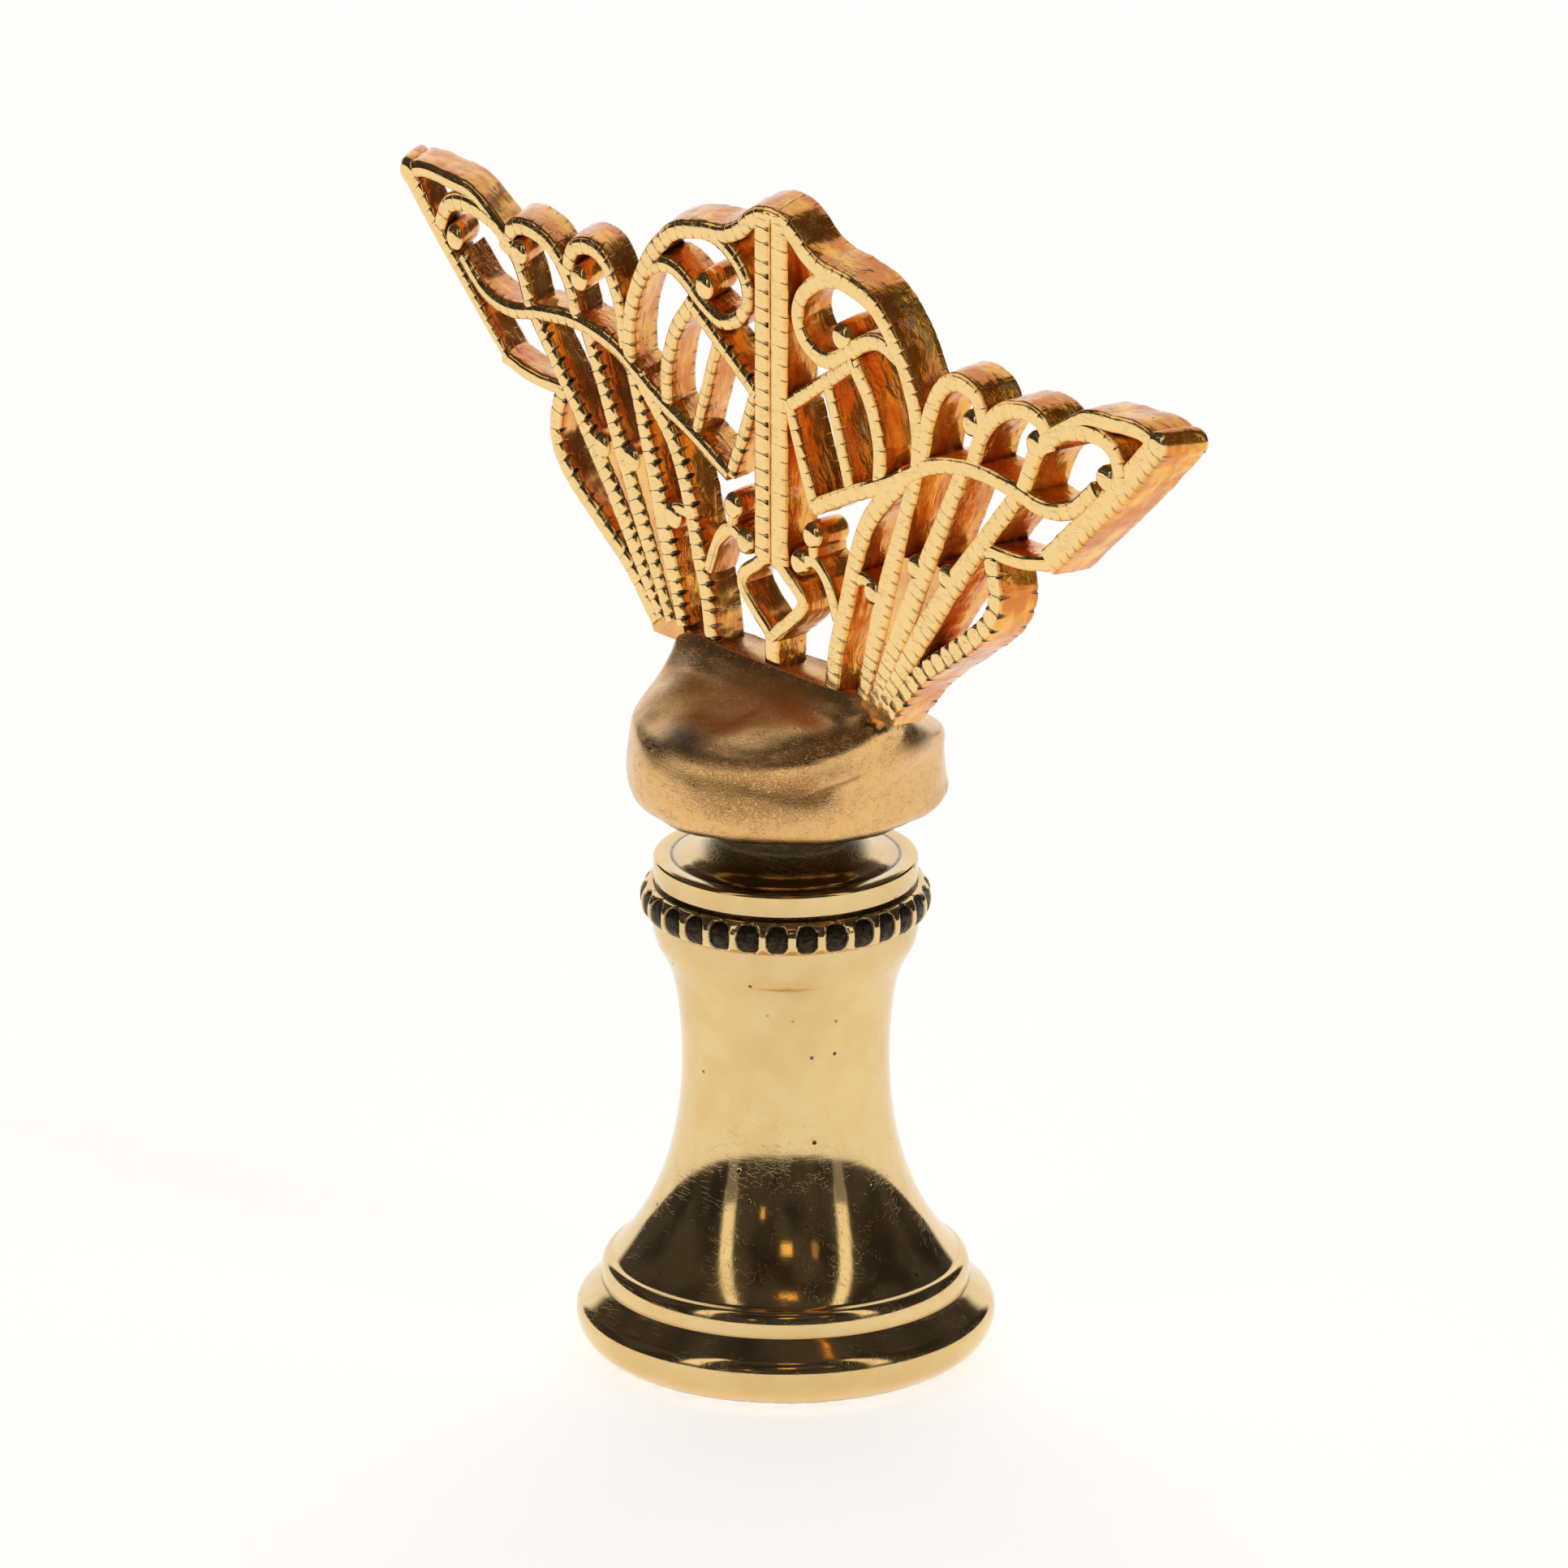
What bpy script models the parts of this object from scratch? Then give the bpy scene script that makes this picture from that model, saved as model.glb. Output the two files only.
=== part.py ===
"""A brass lamp finial: a turned base, a gilt putty mound, and a cast openwork fan standing in it.

Metres, +Z up. The origin is the centre of the base's underside, and the fan stands in the XZ plane.
"""
import math

import bmesh
import bpy
from mathutils import Vector, geometry

# Turned base, from the table up
DISC_RADIUS = 0.00950
DISC_WIDEST_HEIGHT = 0.00180
DISC_LOWER_ROUND_REACH = 0.00197
DISC_UPPER_ROUND = 0.00094
DISC_TOP_SLOPE_DEG = 50.0
STEP_RADIUS = 0.00834
STEP_HEIGHT = 0.00445
STEP_EDGE_DROP = 0.00080
FLARE_RADIUS = 0.00790
WAIST_RADIUS = 0.00470
WAIST_HEIGHT = 0.01380
SHOULDER_RADIUS = 0.00598
SHOULDER_HEIGHT = 0.01945
SHOULDER_BAND_HEIGHT = 0.00125
COLLAR_RADIUS = 0.00645
COLLAR_HEIGHT = 0.00150
CAP_RADIUS = 0.00596
CAP_HEIGHT = 0.00110
CAP_EDGE = 0.00018
CAP_GROOVE_HEIGHT = 0.00015
CAP_GROOVE_DEPTH = 0.00030
CONE_RADIUS = 0.00513
NECK_RADIUS = 0.00320
CONE_HEIGHT = 0.00090
NECK_HEIGHT = 0.00110
BASE_SIDES = 48

# Beads round the collar
BEAD_PITCH = 0.00138
BEAD_HALF_HEIGHT = 0.00070
BEAD_STAND_OUT = 0.00032

# Socket for a lamp's top screw, at the middle of its thread
SOCKET_RADIUS = 0.00310
SOCKET_DEPTH = 0.00950

# Putty mound
MOUND_RADIUS = 0.00715
MOUND_FOOT_RADIUS = 0.00510
MOUND_HEIGHT = 0.00630
MOUND_SIDE_HEIGHT = 0.00360
RIDGE_HALF_LENGTH = 0.00710
RIDGE_HALF_WIDTH = 0.00195
MOUND_SIDES = 36

# Openwork fan: half span to a tip, height from foot to crown, and plate thickness
FAN_HALF_SPAN = 0.02710
FAN_HEIGHT = 0.02140
FAN_THICKNESS = 0.00180
ROOT_HALF_LENGTH = 0.00600
ROOT_DEPTH = 0.00170
ROOT_TOP = 0.00057
FOOT_BAR_WIDTH = 0.00050
FOOT_STUB_WIDTH = 0.00100
STRIP_WIDTH = 0.00088
THIN_STRIP_WIDTH = 0.00070
BALL_RADIUS = 0.00066
WELD_DISTANCE = 0.00003

# Gap kept where one piece sits on or in another
FIT_GAP = 0.00030

# Heights that follow from the sizes above
COLLAR_BASE_Z = SHOULDER_HEIGHT + SHOULDER_BAND_HEIGHT
CAP_BASE_Z = COLLAR_BASE_Z + COLLAR_HEIGHT + CAP_GROOVE_HEIGHT
CAP_TOP_Z = CAP_BASE_Z + CAP_HEIGHT
NECK_BASE_Z = CAP_TOP_Z + CONE_HEIGHT
NECK_TOP_Z = NECK_BASE_Z + NECK_HEIGHT
MOUND_BASE_Z = NECK_TOP_Z + FIT_GAP
RIDGE_Z = MOUND_BASE_Z + MOUND_HEIGHT
FAN_FOOT_Z = RIDGE_Z + FIT_GAP

# The openwork is drawn on a grid: steps out from the centre line, and steps up from the foot
GRID_SPAN = 25.0
GRID_RISE = 22.4
CURVE_STEPS = 3
MERGE_SHARE = 0.000004
BALL_SIDES = 10

RIB_FEET = ((6.00, 0.35), (6.75, 0.35), (7.35, 0.35))
RIB_KNEES = ((7.50, 6.00), (9.35, 6.30), (11.05, 6.40))
RIB_HEADS = ((9.40, 12.20), (12.50, 13.40), (16.00, 13.10))
ARCH_FEET = ((9.80, 13.00), (13.00, 13.50), (16.20, 13.30))
ARCH_CROWNS = ((12.10, 17.30), (16.40, 17.10), (20.60, 17.20))
ARCH_ENDS = ((13.80, 15.60), (17.95, 15.60), (22.50, 15.30))
ARCH_BALLS = ((12.90, 15.55), (17.00, 15.70), (21.40, 15.30))
TIP = (24.60, 17.80)

# Strips of one side as (points on the grid, width in metres); the other side is their mirror
SIDE_STRIPS = {
    "centre_rib": ([(0.55, 5.3), (0.55, 21.8)], 0.00116),
    "diamond": ([(0.0, 5.5), (0.95, 4.9), (2.0, 3.6), (0.0, 1.5)], THIN_STRIP_WIDTH),
    "stem": ([(3.9, 0.35), (4.3, 2.2), (4.9, 4.4), (5.7, 7.4), (6.7, 9.5), (8.8, 11.9)], 0.00100),
    "foot_curl": ([(1.8, 5.6), (2.7, 6.05), (3.6, 5.3), (4.3, 3.6)], THIN_STRIP_WIDTH),
    "knob_stalk": ([(2.6, 7.2), (2.75, 5.9)], THIN_STRIP_WIDTH),
    "stem_tie": ([(5.3, 6.0), (6.3, 6.05), (7.5, 5.2)], THIN_STRIP_WIDTH),
    "side_rim": ([(7.7, 0.35), (9.6, 2.4), (11.9, 4.3), (13.8, 6.0), (14.5, 7.6), (14.1, 9.8)], 0.00093),
    "side_bar": ([(13.5, 9.8), (16.0, 9.8), (18.1, 10.3)], THIN_STRIP_WIDTH),
    "outer_edge": ([(17.8, 10.3), (20.0, 12.6), (22.5, 15.3), TIP], 0.00125),
    "tip_top": ([(18.7, 16.9), (20.2, 17.85), (21.8, 18.05), (23.4, 18.15), TIP], STRIP_WIDTH),
    "cross_band": ([(20.8, 14.6), (19.3, 13.2), (17.5, 12.8), (15.5, 13.2), (13.0, 13.4),
                    (10.6, 12.9), (9.0, 12.0), (7.5, 11.1), (5.2, 10.0), (2.8, 8.7)], 0.00078),
    "inner_slant": ([(2.8, 8.7), (2.0, 10.7), (1.2, 13.0)], THIN_STRIP_WIDTH),
    "upper_slant": ([(1.0, 13.1), (3.4, 14.9), (5.4, 16.4)], THIN_STRIP_WIDTH),
    "leaf_side": ([(5.3, 16.4), (6.4, 14.8), (7.0, 12.8), (7.0, 11.0)], STRIP_WIDTH),
    "slot_bar": ([(3.6, 15.0), (4.3, 12.8), (5.1, 10.1)], THIN_STRIP_WIDTH),
    "lobe_edge": ([(-0.4, 21.95), (0.6, 21.9), (1.4, 21.5), (2.2, 20.8), (3.3, 20.3), (4.8, 20.1),
                   (6.6, 19.5), (8.1, 17.9), (9.1, 15.9), (9.55, 14.0), (9.5, 12.4)], 0.00093),
    "scroll": ([(5.0, 20.1), (3.5, 19.9), (2.2, 19.0), (1.65, 17.8), (2.1, 16.6), (3.4, 16.0),
                (4.8, 16.6), (5.8, 17.4), (7.0, 17.8), (8.3, 17.3)], 0.00082),
}
SIDE_BALLS = {
    "foot_ball": (1.8, 5.7),
    "knob": (2.60, 7.2),
    "tie_ball": (6.6, 5.6),
    "scroll_ball": (4.5, 17.4),
    "tip_ball": TIP,
}
# Where the lower ribs run together into one web
WEB = ((5.9, 0.35), (8.0, 0.35), (9.4, 2.6), (11.5, 7.9), (10.2, 8.2), (8.2, 7.8))
FOOT_BAR = ((-8.0, 0.4), (8.0, 0.4))
FOOT_STUB = ((0.0, 0.4), (0.0, 1.7))


def clear_scene():
    """Remove every object so that the script can run again in the same file."""
    for item in list(bpy.data.objects):
        bpy.data.objects.remove(item, do_unlink=True)


def new_collection(name):
    """Return a fresh collection linked to the scene."""
    group = bpy.data.collections.get(name) or bpy.data.collections.new(name)
    if group.name not in bpy.context.scene.collection.children:
        bpy.context.scene.collection.children.link(group)
    return group


def metal(name, colour, roughness):
    """Return a Principled metal of one colour."""
    material = bpy.data.materials.new(name)
    material.use_nodes = True
    shader = material.node_tree.nodes["Principled BSDF"]
    shader.inputs["Base Color"].default_value = (*colour, 1.0)
    shader.inputs["Roughness"].default_value = roughness
    shader.inputs["Metallic"].default_value = 1.0
    return material


def new_object(name, mesh, group, material=None):
    """Link a mesh object into a collection and give it its material."""
    item = bpy.data.objects.new(name, mesh)
    group.objects.link(item)
    if material:
        mesh.materials.append(material)
    return item


def new_cutter(name, mesh, group):
    """Link a helper object that shapes another piece and is never drawn itself."""
    item = new_object(name, mesh, group)
    item.hide_render = True
    item.display_type = "WIRE"
    return item


def boolean(target, helper, operation):
    """Join a helper's shape to a piece, or cut it away."""
    step = target.modifiers.new(operation.lower(), "BOOLEAN")
    step.operation = operation
    step.solver = "EXACT"
    step.object = helper


def arc(centre, radii, start, end, count):
    """Points on an elliptical arc between two angles in degrees, both ends included."""
    angles = [math.radians(start + (end - start) * i / count) for i in range(count + 1)]
    return [(centre[0] + radii[0] * math.cos(a), centre[1] + radii[1] * math.sin(a)) for a in angles]


def bezier(p0, p1, p2, p3, count):
    """Points on a cubic curve, without its first point."""
    points = []
    for i in range(1, count + 1):
        t = i / count
        weights = ((1 - t) ** 3, 3 * t * (1 - t) ** 2, 3 * t * t * (1 - t), t ** 3)
        points.append(tuple(sum(w * p[k] for w, p in zip(weights, (p0, p1, p2, p3))) for k in (0, 1)))
    return points


def base_profile():
    """Half section of the base as (radius, height), down the outside, then up the socket."""
    slope = math.radians(DISC_TOP_SLOPE_DEG)
    upper_centre = DISC_RADIUS - DISC_UPPER_ROUND
    cone_run = upper_centre + DISC_UPPER_ROUND * math.cos(slope) - STEP_RADIUS
    seat_z = DISC_WIDEST_HEIGHT + DISC_UPPER_ROUND * math.sin(slope) + cone_run / math.tan(slope)
    neck = [(0.0, NECK_TOP_Z), (NECK_RADIUS, NECK_TOP_Z), (NECK_RADIUS, NECK_BASE_Z)]
    cone = [(NECK_RADIUS + 0.45 * (CONE_RADIUS - NECK_RADIUS), CAP_TOP_Z + 0.25 * CONE_HEIGHT)]
    cone.append((CONE_RADIUS, CAP_TOP_Z))
    cap = arc((CAP_RADIUS - CAP_EDGE, CAP_TOP_Z - CAP_EDGE), (CAP_EDGE, CAP_EDGE), 90, 0, 2)
    collar_top = COLLAR_BASE_Z + COLLAR_HEIGHT
    cap += [(CAP_RADIUS, CAP_BASE_Z), (CAP_RADIUS - CAP_GROOVE_DEPTH, CAP_BASE_Z - CAP_GROOVE_HEIGHT / 2)]
    collar = arc((COLLAR_RADIUS - COLLAR_HEIGHT / 4, (COLLAR_BASE_Z + collar_top) / 2),
                 (COLLAR_HEIGHT / 4, COLLAR_HEIGHT / 2), 75, -75, 3)
    shoulder = (SHOULDER_RADIUS, SHOULDER_HEIGHT)
    waist = (WAIST_RADIUS, WAIST_HEIGHT)
    rise = SHOULDER_HEIGHT - WAIST_HEIGHT
    upper = bezier(shoulder, (WAIST_RADIUS + 0.24 * (SHOULDER_RADIUS - WAIST_RADIUS),
                              SHOULDER_HEIGHT - 0.21 * rise),
                   (WAIST_RADIUS, WAIST_HEIGHT + 0.5 * rise), waist, 6)
    drop = WAIST_HEIGHT - STEP_HEIGHT
    spread = FLARE_RADIUS - WAIST_RADIUS
    flare = bezier(waist, (WAIST_RADIUS, WAIST_HEIGHT - 0.46 * drop),
                   (WAIST_RADIUS + 0.42 * spread, STEP_HEIGHT + 0.20 * drop),
                   (FLARE_RADIUS, STEP_HEIGHT), 7)
    step = arc((FLARE_RADIUS, STEP_HEIGHT - STEP_EDGE_DROP),
               (STEP_RADIUS - FLARE_RADIUS, STEP_EDGE_DROP), 90, 0, 3)[1:]
    rim = [(STEP_RADIUS, seat_z)]
    rim += arc((upper_centre, DISC_WIDEST_HEIGHT), (DISC_UPPER_ROUND, DISC_UPPER_ROUND),
               DISC_TOP_SLOPE_DEG, 0, 3)
    rim += arc((DISC_RADIUS - DISC_LOWER_ROUND_REACH, DISC_WIDEST_HEIGHT),
               (DISC_LOWER_ROUND_REACH, DISC_WIDEST_HEIGHT), 0, -90, 5)[1:]
    socket = [(SOCKET_RADIUS, 0.0), (SOCKET_RADIUS, SOCKET_DEPTH), (0.0, SOCKET_DEPTH)]
    band_top = (SHOULDER_RADIUS, COLLAR_BASE_Z)
    return neck + cone + cap + collar + [band_top, shoulder] + upper + flare + step + rim + socket


def turned(name, profile, sides, group, material):
    """Turn a half section round the Z axis into one solid."""
    mesh = bpy.data.meshes.new(name)
    edges = [(i, i + 1) for i in range(len(profile) - 1)]
    mesh.from_pydata([(radius, 0.0, height) for radius, height in profile], edges, [])
    item = new_object(name, mesh, group, material)
    screw = item.modifiers.new("turn", "SCREW")
    screw.steps = sides
    screw.render_steps = sides
    screw.use_merge_vertices = True
    screw.merge_threshold = 0.000001
    screw.use_smooth_shade = True
    return item


def bead_ring(group):
    """Small oval beads standing half out of the collar, all in one helper mesh."""
    count = round(2 * math.pi * COLLAR_RADIUS / BEAD_PITCH)
    width = math.pi * COLLAR_RADIUS / count
    mesh = bpy.data.meshes.new("collar_beads")
    build = bmesh.new()
    for i in range(count):
        made = bmesh.ops.create_uvsphere(build, u_segments=8, v_segments=4, radius=1.0)["verts"]
        bmesh.ops.scale(build, vec=(BEAD_STAND_OUT * 2, width * 0.86, BEAD_HALF_HEIGHT), verts=made)
        bmesh.ops.translate(build, vec=(COLLAR_RADIUS - BEAD_STAND_OUT, 0, 0), verts=made)
        turn = 2 * math.pi * i / count
        for vert in made:
            x, y, z = vert.co
            vert.co = (x * math.cos(turn) - y * math.sin(turn), x * math.sin(turn) + y * math.cos(turn),
                       z + COLLAR_BASE_Z + COLLAR_HEIGHT / 2)
    build.to_mesh(mesh)
    build.free()
    return new_cutter("collar_beads", mesh, group)


def mound_levels():
    """The mound's cross sections as (height, half length, half width, squareness)."""
    top = MOUND_HEIGHT
    side = MOUND_SIDE_HEIGHT
    slope = top - side
    belly = MOUND_RADIUS
    tuck = belly - MOUND_FOOT_RADIUS
    narrow = belly - RIDGE_HALF_WIDTH
    return [
        (0.0, MOUND_FOOT_RADIUS, MOUND_FOOT_RADIUS, 2.0),
        (0.05 * side, belly - 0.45 * tuck, belly - 0.45 * tuck, 2.0),
        (0.20 * side, belly - 0.12 * tuck, belly - 0.12 * tuck, 2.0),
        (0.45 * side, belly, belly, 2.0),
        (0.85 * side, belly, belly - 0.02 * narrow, 2.0),
        (side + 0.12 * slope, belly, belly - 0.14 * narrow, 2.1),
        (side + 0.30 * slope, belly, belly - 0.34 * narrow, 2.2),
        (side + 0.52 * slope, belly, belly - 0.62 * narrow, 2.4),
        (side + 0.78 * slope, belly, belly - 0.87 * narrow, 2.8),
        (side + 0.95 * slope, RIDGE_HALF_LENGTH, RIDGE_HALF_WIDTH, 3.0),
        (top, RIDGE_HALF_LENGTH * 0.97, RIDGE_HALF_WIDTH * 0.86, 3.0),
    ]


def ring_point(angle, half_length, half_width, squareness):
    """A point on a rounded outline between an oval and a long box."""
    c, s = math.cos(angle), math.sin(angle)
    x = math.copysign(abs(c) ** (2 / squareness), c) * half_length
    y = math.copysign(abs(s) ** (2 / squareness), s) * half_width
    return x, y


def putty_mound(group, cutters, material):
    """A round lump of putty whose top is pinched up into a ridge, slotted for the fan's root."""
    mesh = bpy.data.meshes.new("gilt_putty_mound")
    build = bmesh.new()
    rings = []
    for height, half_length, half_width, squareness in mound_levels():
        ring = []
        for i in range(MOUND_SIDES):
            x, y = ring_point(2 * math.pi * i / MOUND_SIDES, half_length, half_width, squareness)
            ring.append(build.verts.new((x, y, MOUND_BASE_Z + height)))
        rings.append(ring)
    for low, high in zip(rings, rings[1:]):
        for i in range(MOUND_SIDES):
            j = (i + 1) % MOUND_SIDES
            build.faces.new((low[i], low[j], high[j], high[i]))
    build.faces.new(list(reversed(rings[0])))
    build.faces.new(rings[-1])
    build.to_mesh(mesh)
    build.free()
    mesh.shade_smooth()
    mound = new_object("gilt_putty_mound", mesh, group, material)

    slot_mesh = bpy.data.meshes.new("fan_slot")
    build = bmesh.new()
    bmesh.ops.create_cube(build, size=1.0)
    reach = ROOT_DEPTH + FIT_GAP
    bmesh.ops.scale(build, verts=build.verts, vec=(
        2 * (ROOT_HALF_LENGTH + FIT_GAP), FAN_THICKNESS + 2 * FIT_GAP, 2 * reach))
    build.to_mesh(slot_mesh)
    build.free()
    slot = new_cutter("fan_slot", slot_mesh, cutters)
    slot.location.z = RIDGE_Z
    boolean(mound, slot, "DIFFERENCE")
    return mound


def smooth(points, steps):
    """Points of a smooth curve through the given ones."""
    if len(points) == 2:
        return list(points)
    path = list(points)
    ends = [path[0] * 2 - path[1]] + path + [path[-1] * 2 - path[-2]]
    result = [path[0]]
    for a, b, c, d in zip(ends, ends[1:], ends[2:], ends[3:]):
        for i in range(1, steps + 1):
            t = i / steps
            result.append(0.5 * (2 * b + (c - a) * t + (2 * a - 5 * b + 4 * c - d) * t * t
                                 + (3 * b - a - 3 * c + d) * t ** 3))
    return result


def placed(points):
    """Points of the grid as (x, z) in metres, with z measured from the fan's foot."""
    return [Vector((x / GRID_SPAN * FAN_HALF_SPAN, z / GRID_RISE * FAN_HEIGHT)) for x, z in points]


def ribbon(points, width):
    """A strip of one width along a path on the grid, as one quad for each stretch."""
    path = smooth(placed(points), CURVE_STEPS)
    left, right = [], []
    for i, point in enumerate(path):
        ahead = (path[min(i + 1, len(path) - 1)] - path[max(i - 1, 0)]).normalized()
        across = Vector((-ahead.y, ahead.x)) * width / 2
        left.append(point + across)
        right.append(point - across)
    return [(right[i], right[i + 1], left[i + 1], left[i]) for i in range(len(path) - 1)]


def disc(centre, radius):
    """A flat ball end as a regular polygon."""
    middle = placed([centre])[0]
    turns = [2 * math.pi * i / BALL_SIDES for i in range(BALL_SIDES)]
    return [tuple(middle + Vector((math.cos(turn), math.sin(turn))) * radius for turn in turns)]


def arch(foot, crown, end):
    """Path of a small arch that springs from the cross band and turns down again."""
    run, rise = crown[0] - foot[0], crown[1] - foot[1]
    drop = crown[1] - end[1]
    return [foot, (foot[0] + 0.20 * run, foot[1] + 0.52 * rise),
            (foot[0] + 0.56 * run, foot[1] + 0.88 * rise), crown,
            (crown[0] + 0.68 * (end[0] - crown[0]), crown[1] - 0.22 * drop), end]


def side_patches():
    """Every flat patch of the fan's +X side."""
    patches = [tuple(placed(WEB))]
    for points, width in SIDE_STRIPS.values():
        patches += ribbon(points, width)
    for foot, knee, head in zip(RIB_FEET, RIB_KNEES, RIB_HEADS):
        patches += ribbon([foot, knee, head], STRIP_WIDTH)
    for foot, crown, end in zip(ARCH_FEET, ARCH_CROWNS, ARCH_ENDS):
        patches += ribbon(arch(foot, crown, end), STRIP_WIDTH)
    for centre in list(SIDE_BALLS.values()) + list(ARCH_BALLS):
        patches += disc(centre, BALL_RADIUS)
    return patches


def mirrored(patch):
    """The same patch on the other side of the centre line."""
    return tuple(Vector((-p.x, p.y)) for p in reversed(patch))


def fan_patches():
    """All patches of the fan: both sides, the foot bar and the root that the putty holds."""
    half = side_patches()
    patches = half + [mirrored(patch) for patch in half]
    root_low = -(ROOT_DEPTH + FIT_GAP)
    patches.append((Vector((-ROOT_HALF_LENGTH, root_low)), Vector((ROOT_HALF_LENGTH, root_low)),
                    Vector((ROOT_HALF_LENGTH, ROOT_TOP)), Vector((-ROOT_HALF_LENGTH, ROOT_TOP))))
    patches += ribbon(FOOT_BAR, FOOT_BAR_WIDTH)
    patches += ribbon(FOOT_STUB, FOOT_STUB_WIDTH)
    return patches


def openwork_fan(group, material):
    """Cast openwork: the strips' common outline, thickened evenly to both sides."""
    points, faces = [], []
    for patch in fan_patches():
        faces.append(list(range(len(points), len(points) + len(patch))))
        points += list(patch)
    inside_only = 1
    points = [point / FAN_HALF_SPAN for point in points]
    verts, _, triangles, _, _, sources = geometry.delaunay_2d_cdt(
        points, [], faces, inside_only, MERGE_SHARE, True)
    build = bmesh.new()
    made = []
    for vert in verts:
        made.append(build.verts.new((vert.x * FAN_HALF_SPAN, 0.0, FAN_FOOT_Z + vert.y * FAN_HALF_SPAN)))
    for triangle, source in zip(triangles, sources):
        if source:
            build.faces.new([made[i] for i in triangle])
    loose = [vert for vert in build.verts if not vert.link_faces]
    bmesh.ops.delete(build, geom=loose, context="VERTS")
    bmesh.ops.remove_doubles(build, verts=build.verts, dist=WELD_DISTANCE)
    bmesh.ops.dissolve_limit(build, angle_limit=math.radians(2), verts=build.verts, edges=build.edges)
    bmesh.ops.recalc_face_normals(build, faces=build.faces)
    mesh = bpy.data.meshes.new("openwork_fan")
    build.to_mesh(mesh)
    build.free()
    fan = new_object("openwork_fan", mesh, group, material)
    thicken = fan.modifiers.new("plate", "SOLIDIFY")
    thicken.thickness = FAN_THICKNESS
    thicken.offset = 0.0
    return fan


def main():
    """Build the three pieces."""
    clear_scene()
    pieces = new_collection("brass_finial")
    cutters = new_collection("cutters")
    brass = metal("polished_brass", (0.78, 0.60, 0.28), 0.16)
    gilt = metal("gilt_putty", (0.72, 0.47, 0.24), 0.42)
    plate = metal("gold_plate", (0.95, 0.68, 0.26), 0.14)

    base = turned("finial_base", base_profile(), BASE_SIDES, pieces, brass)
    boolean(base, bead_ring(cutters), "UNION")
    putty_mound(pieces, cutters, gilt)
    openwork_fan(pieces, plate)


main()
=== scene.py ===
"""Looks of a brass lamp finial: a turned base with a beaded collar, a gilt putty mound, a cast openwork fan.

All lengths are in metres, in the frame's own axes: +Z up the turned base, the fan standing in the XZ plane.
"""
import logging
import math
import random
from dataclasses import dataclass, field
from enum import Enum
from typing import Iterable, Optional, Sequence, Union

import bmesh
import bpy
import numpy as np
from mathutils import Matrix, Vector, noise


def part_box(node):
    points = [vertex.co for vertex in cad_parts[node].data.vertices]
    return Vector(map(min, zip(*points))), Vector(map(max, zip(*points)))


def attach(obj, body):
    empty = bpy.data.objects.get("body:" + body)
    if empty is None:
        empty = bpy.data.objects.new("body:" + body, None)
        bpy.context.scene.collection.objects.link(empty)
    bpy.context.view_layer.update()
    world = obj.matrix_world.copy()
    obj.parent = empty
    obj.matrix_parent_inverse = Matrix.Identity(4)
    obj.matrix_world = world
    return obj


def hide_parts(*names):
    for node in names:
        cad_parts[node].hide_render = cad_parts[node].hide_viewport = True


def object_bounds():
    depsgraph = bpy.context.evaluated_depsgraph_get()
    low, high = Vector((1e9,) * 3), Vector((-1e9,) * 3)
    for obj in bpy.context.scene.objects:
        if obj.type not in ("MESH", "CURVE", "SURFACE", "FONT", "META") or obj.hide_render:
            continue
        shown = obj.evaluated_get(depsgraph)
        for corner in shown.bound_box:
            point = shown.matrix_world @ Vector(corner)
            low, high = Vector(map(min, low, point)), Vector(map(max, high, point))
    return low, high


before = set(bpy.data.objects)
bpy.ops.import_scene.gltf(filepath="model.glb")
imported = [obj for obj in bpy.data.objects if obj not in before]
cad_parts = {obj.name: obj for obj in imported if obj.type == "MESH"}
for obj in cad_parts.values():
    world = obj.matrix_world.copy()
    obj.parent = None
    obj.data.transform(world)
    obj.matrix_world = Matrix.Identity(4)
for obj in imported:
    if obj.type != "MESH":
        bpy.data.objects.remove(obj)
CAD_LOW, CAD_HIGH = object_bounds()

MM = 0.001
ROOT_BODY = "root"
LOG = logging.getLogger("brass_finial")

Colour = tuple[float, float, float]
Point2 = tuple[float, float]
Value = Union[float, Sequence[float], bpy.types.NodeSocket]


class Slot(Enum):
    """Material slots that the record names."""

    BRASS = "polished_brass"
    PUTTY = "gilt_putty"
    PLATE = "gold_plate"


class Mask(Enum):
    """Values kept on the meshes' points for the finishes to read."""

    # Real patina in the bead cells and the socket, together with painted shade: on the cone and neck under
    # the mound, in two grooves of the base, and on the mound's underside, dimples and squeeze-out.
    PATINA_AND_SHADE = "patina_and_shade"
    # Real tarnish on the base, together with painted shade: the groove between step and disc, and the
    # orange-brown of the mound's hollow, which stands in for shade and reflection there; also a brown band
    # near the fan's foot.
    TARNISH_AND_SHADE = "tarnish_and_shade"
    GROOVE = "groove"
    WALL = "wall"
    NICK = "nick"
    NICK_OFF = "nick_off"
    ACROSS = "across"


# Curves and noise shared by the sub-assemblies

def arc(centre: Point2, radii: Point2, start: float, end: float, count: int) -> list[Point2]:
    """Points on an elliptical arc, both ends included.

    Args:
        centre: Centre of the ellipse.
        radii: Its two half axes.
        start: First angle in degrees.
        end: Last angle in degrees.
        count: Number of steps.

    Returns:
        The points in order.
    """
    angles = [math.radians(start + (end - start) * i / count) for i in range(count + 1)]
    return [(centre[0] + radii[0] * math.cos(a), centre[1] + radii[1] * math.sin(a)) for a in angles]


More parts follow.
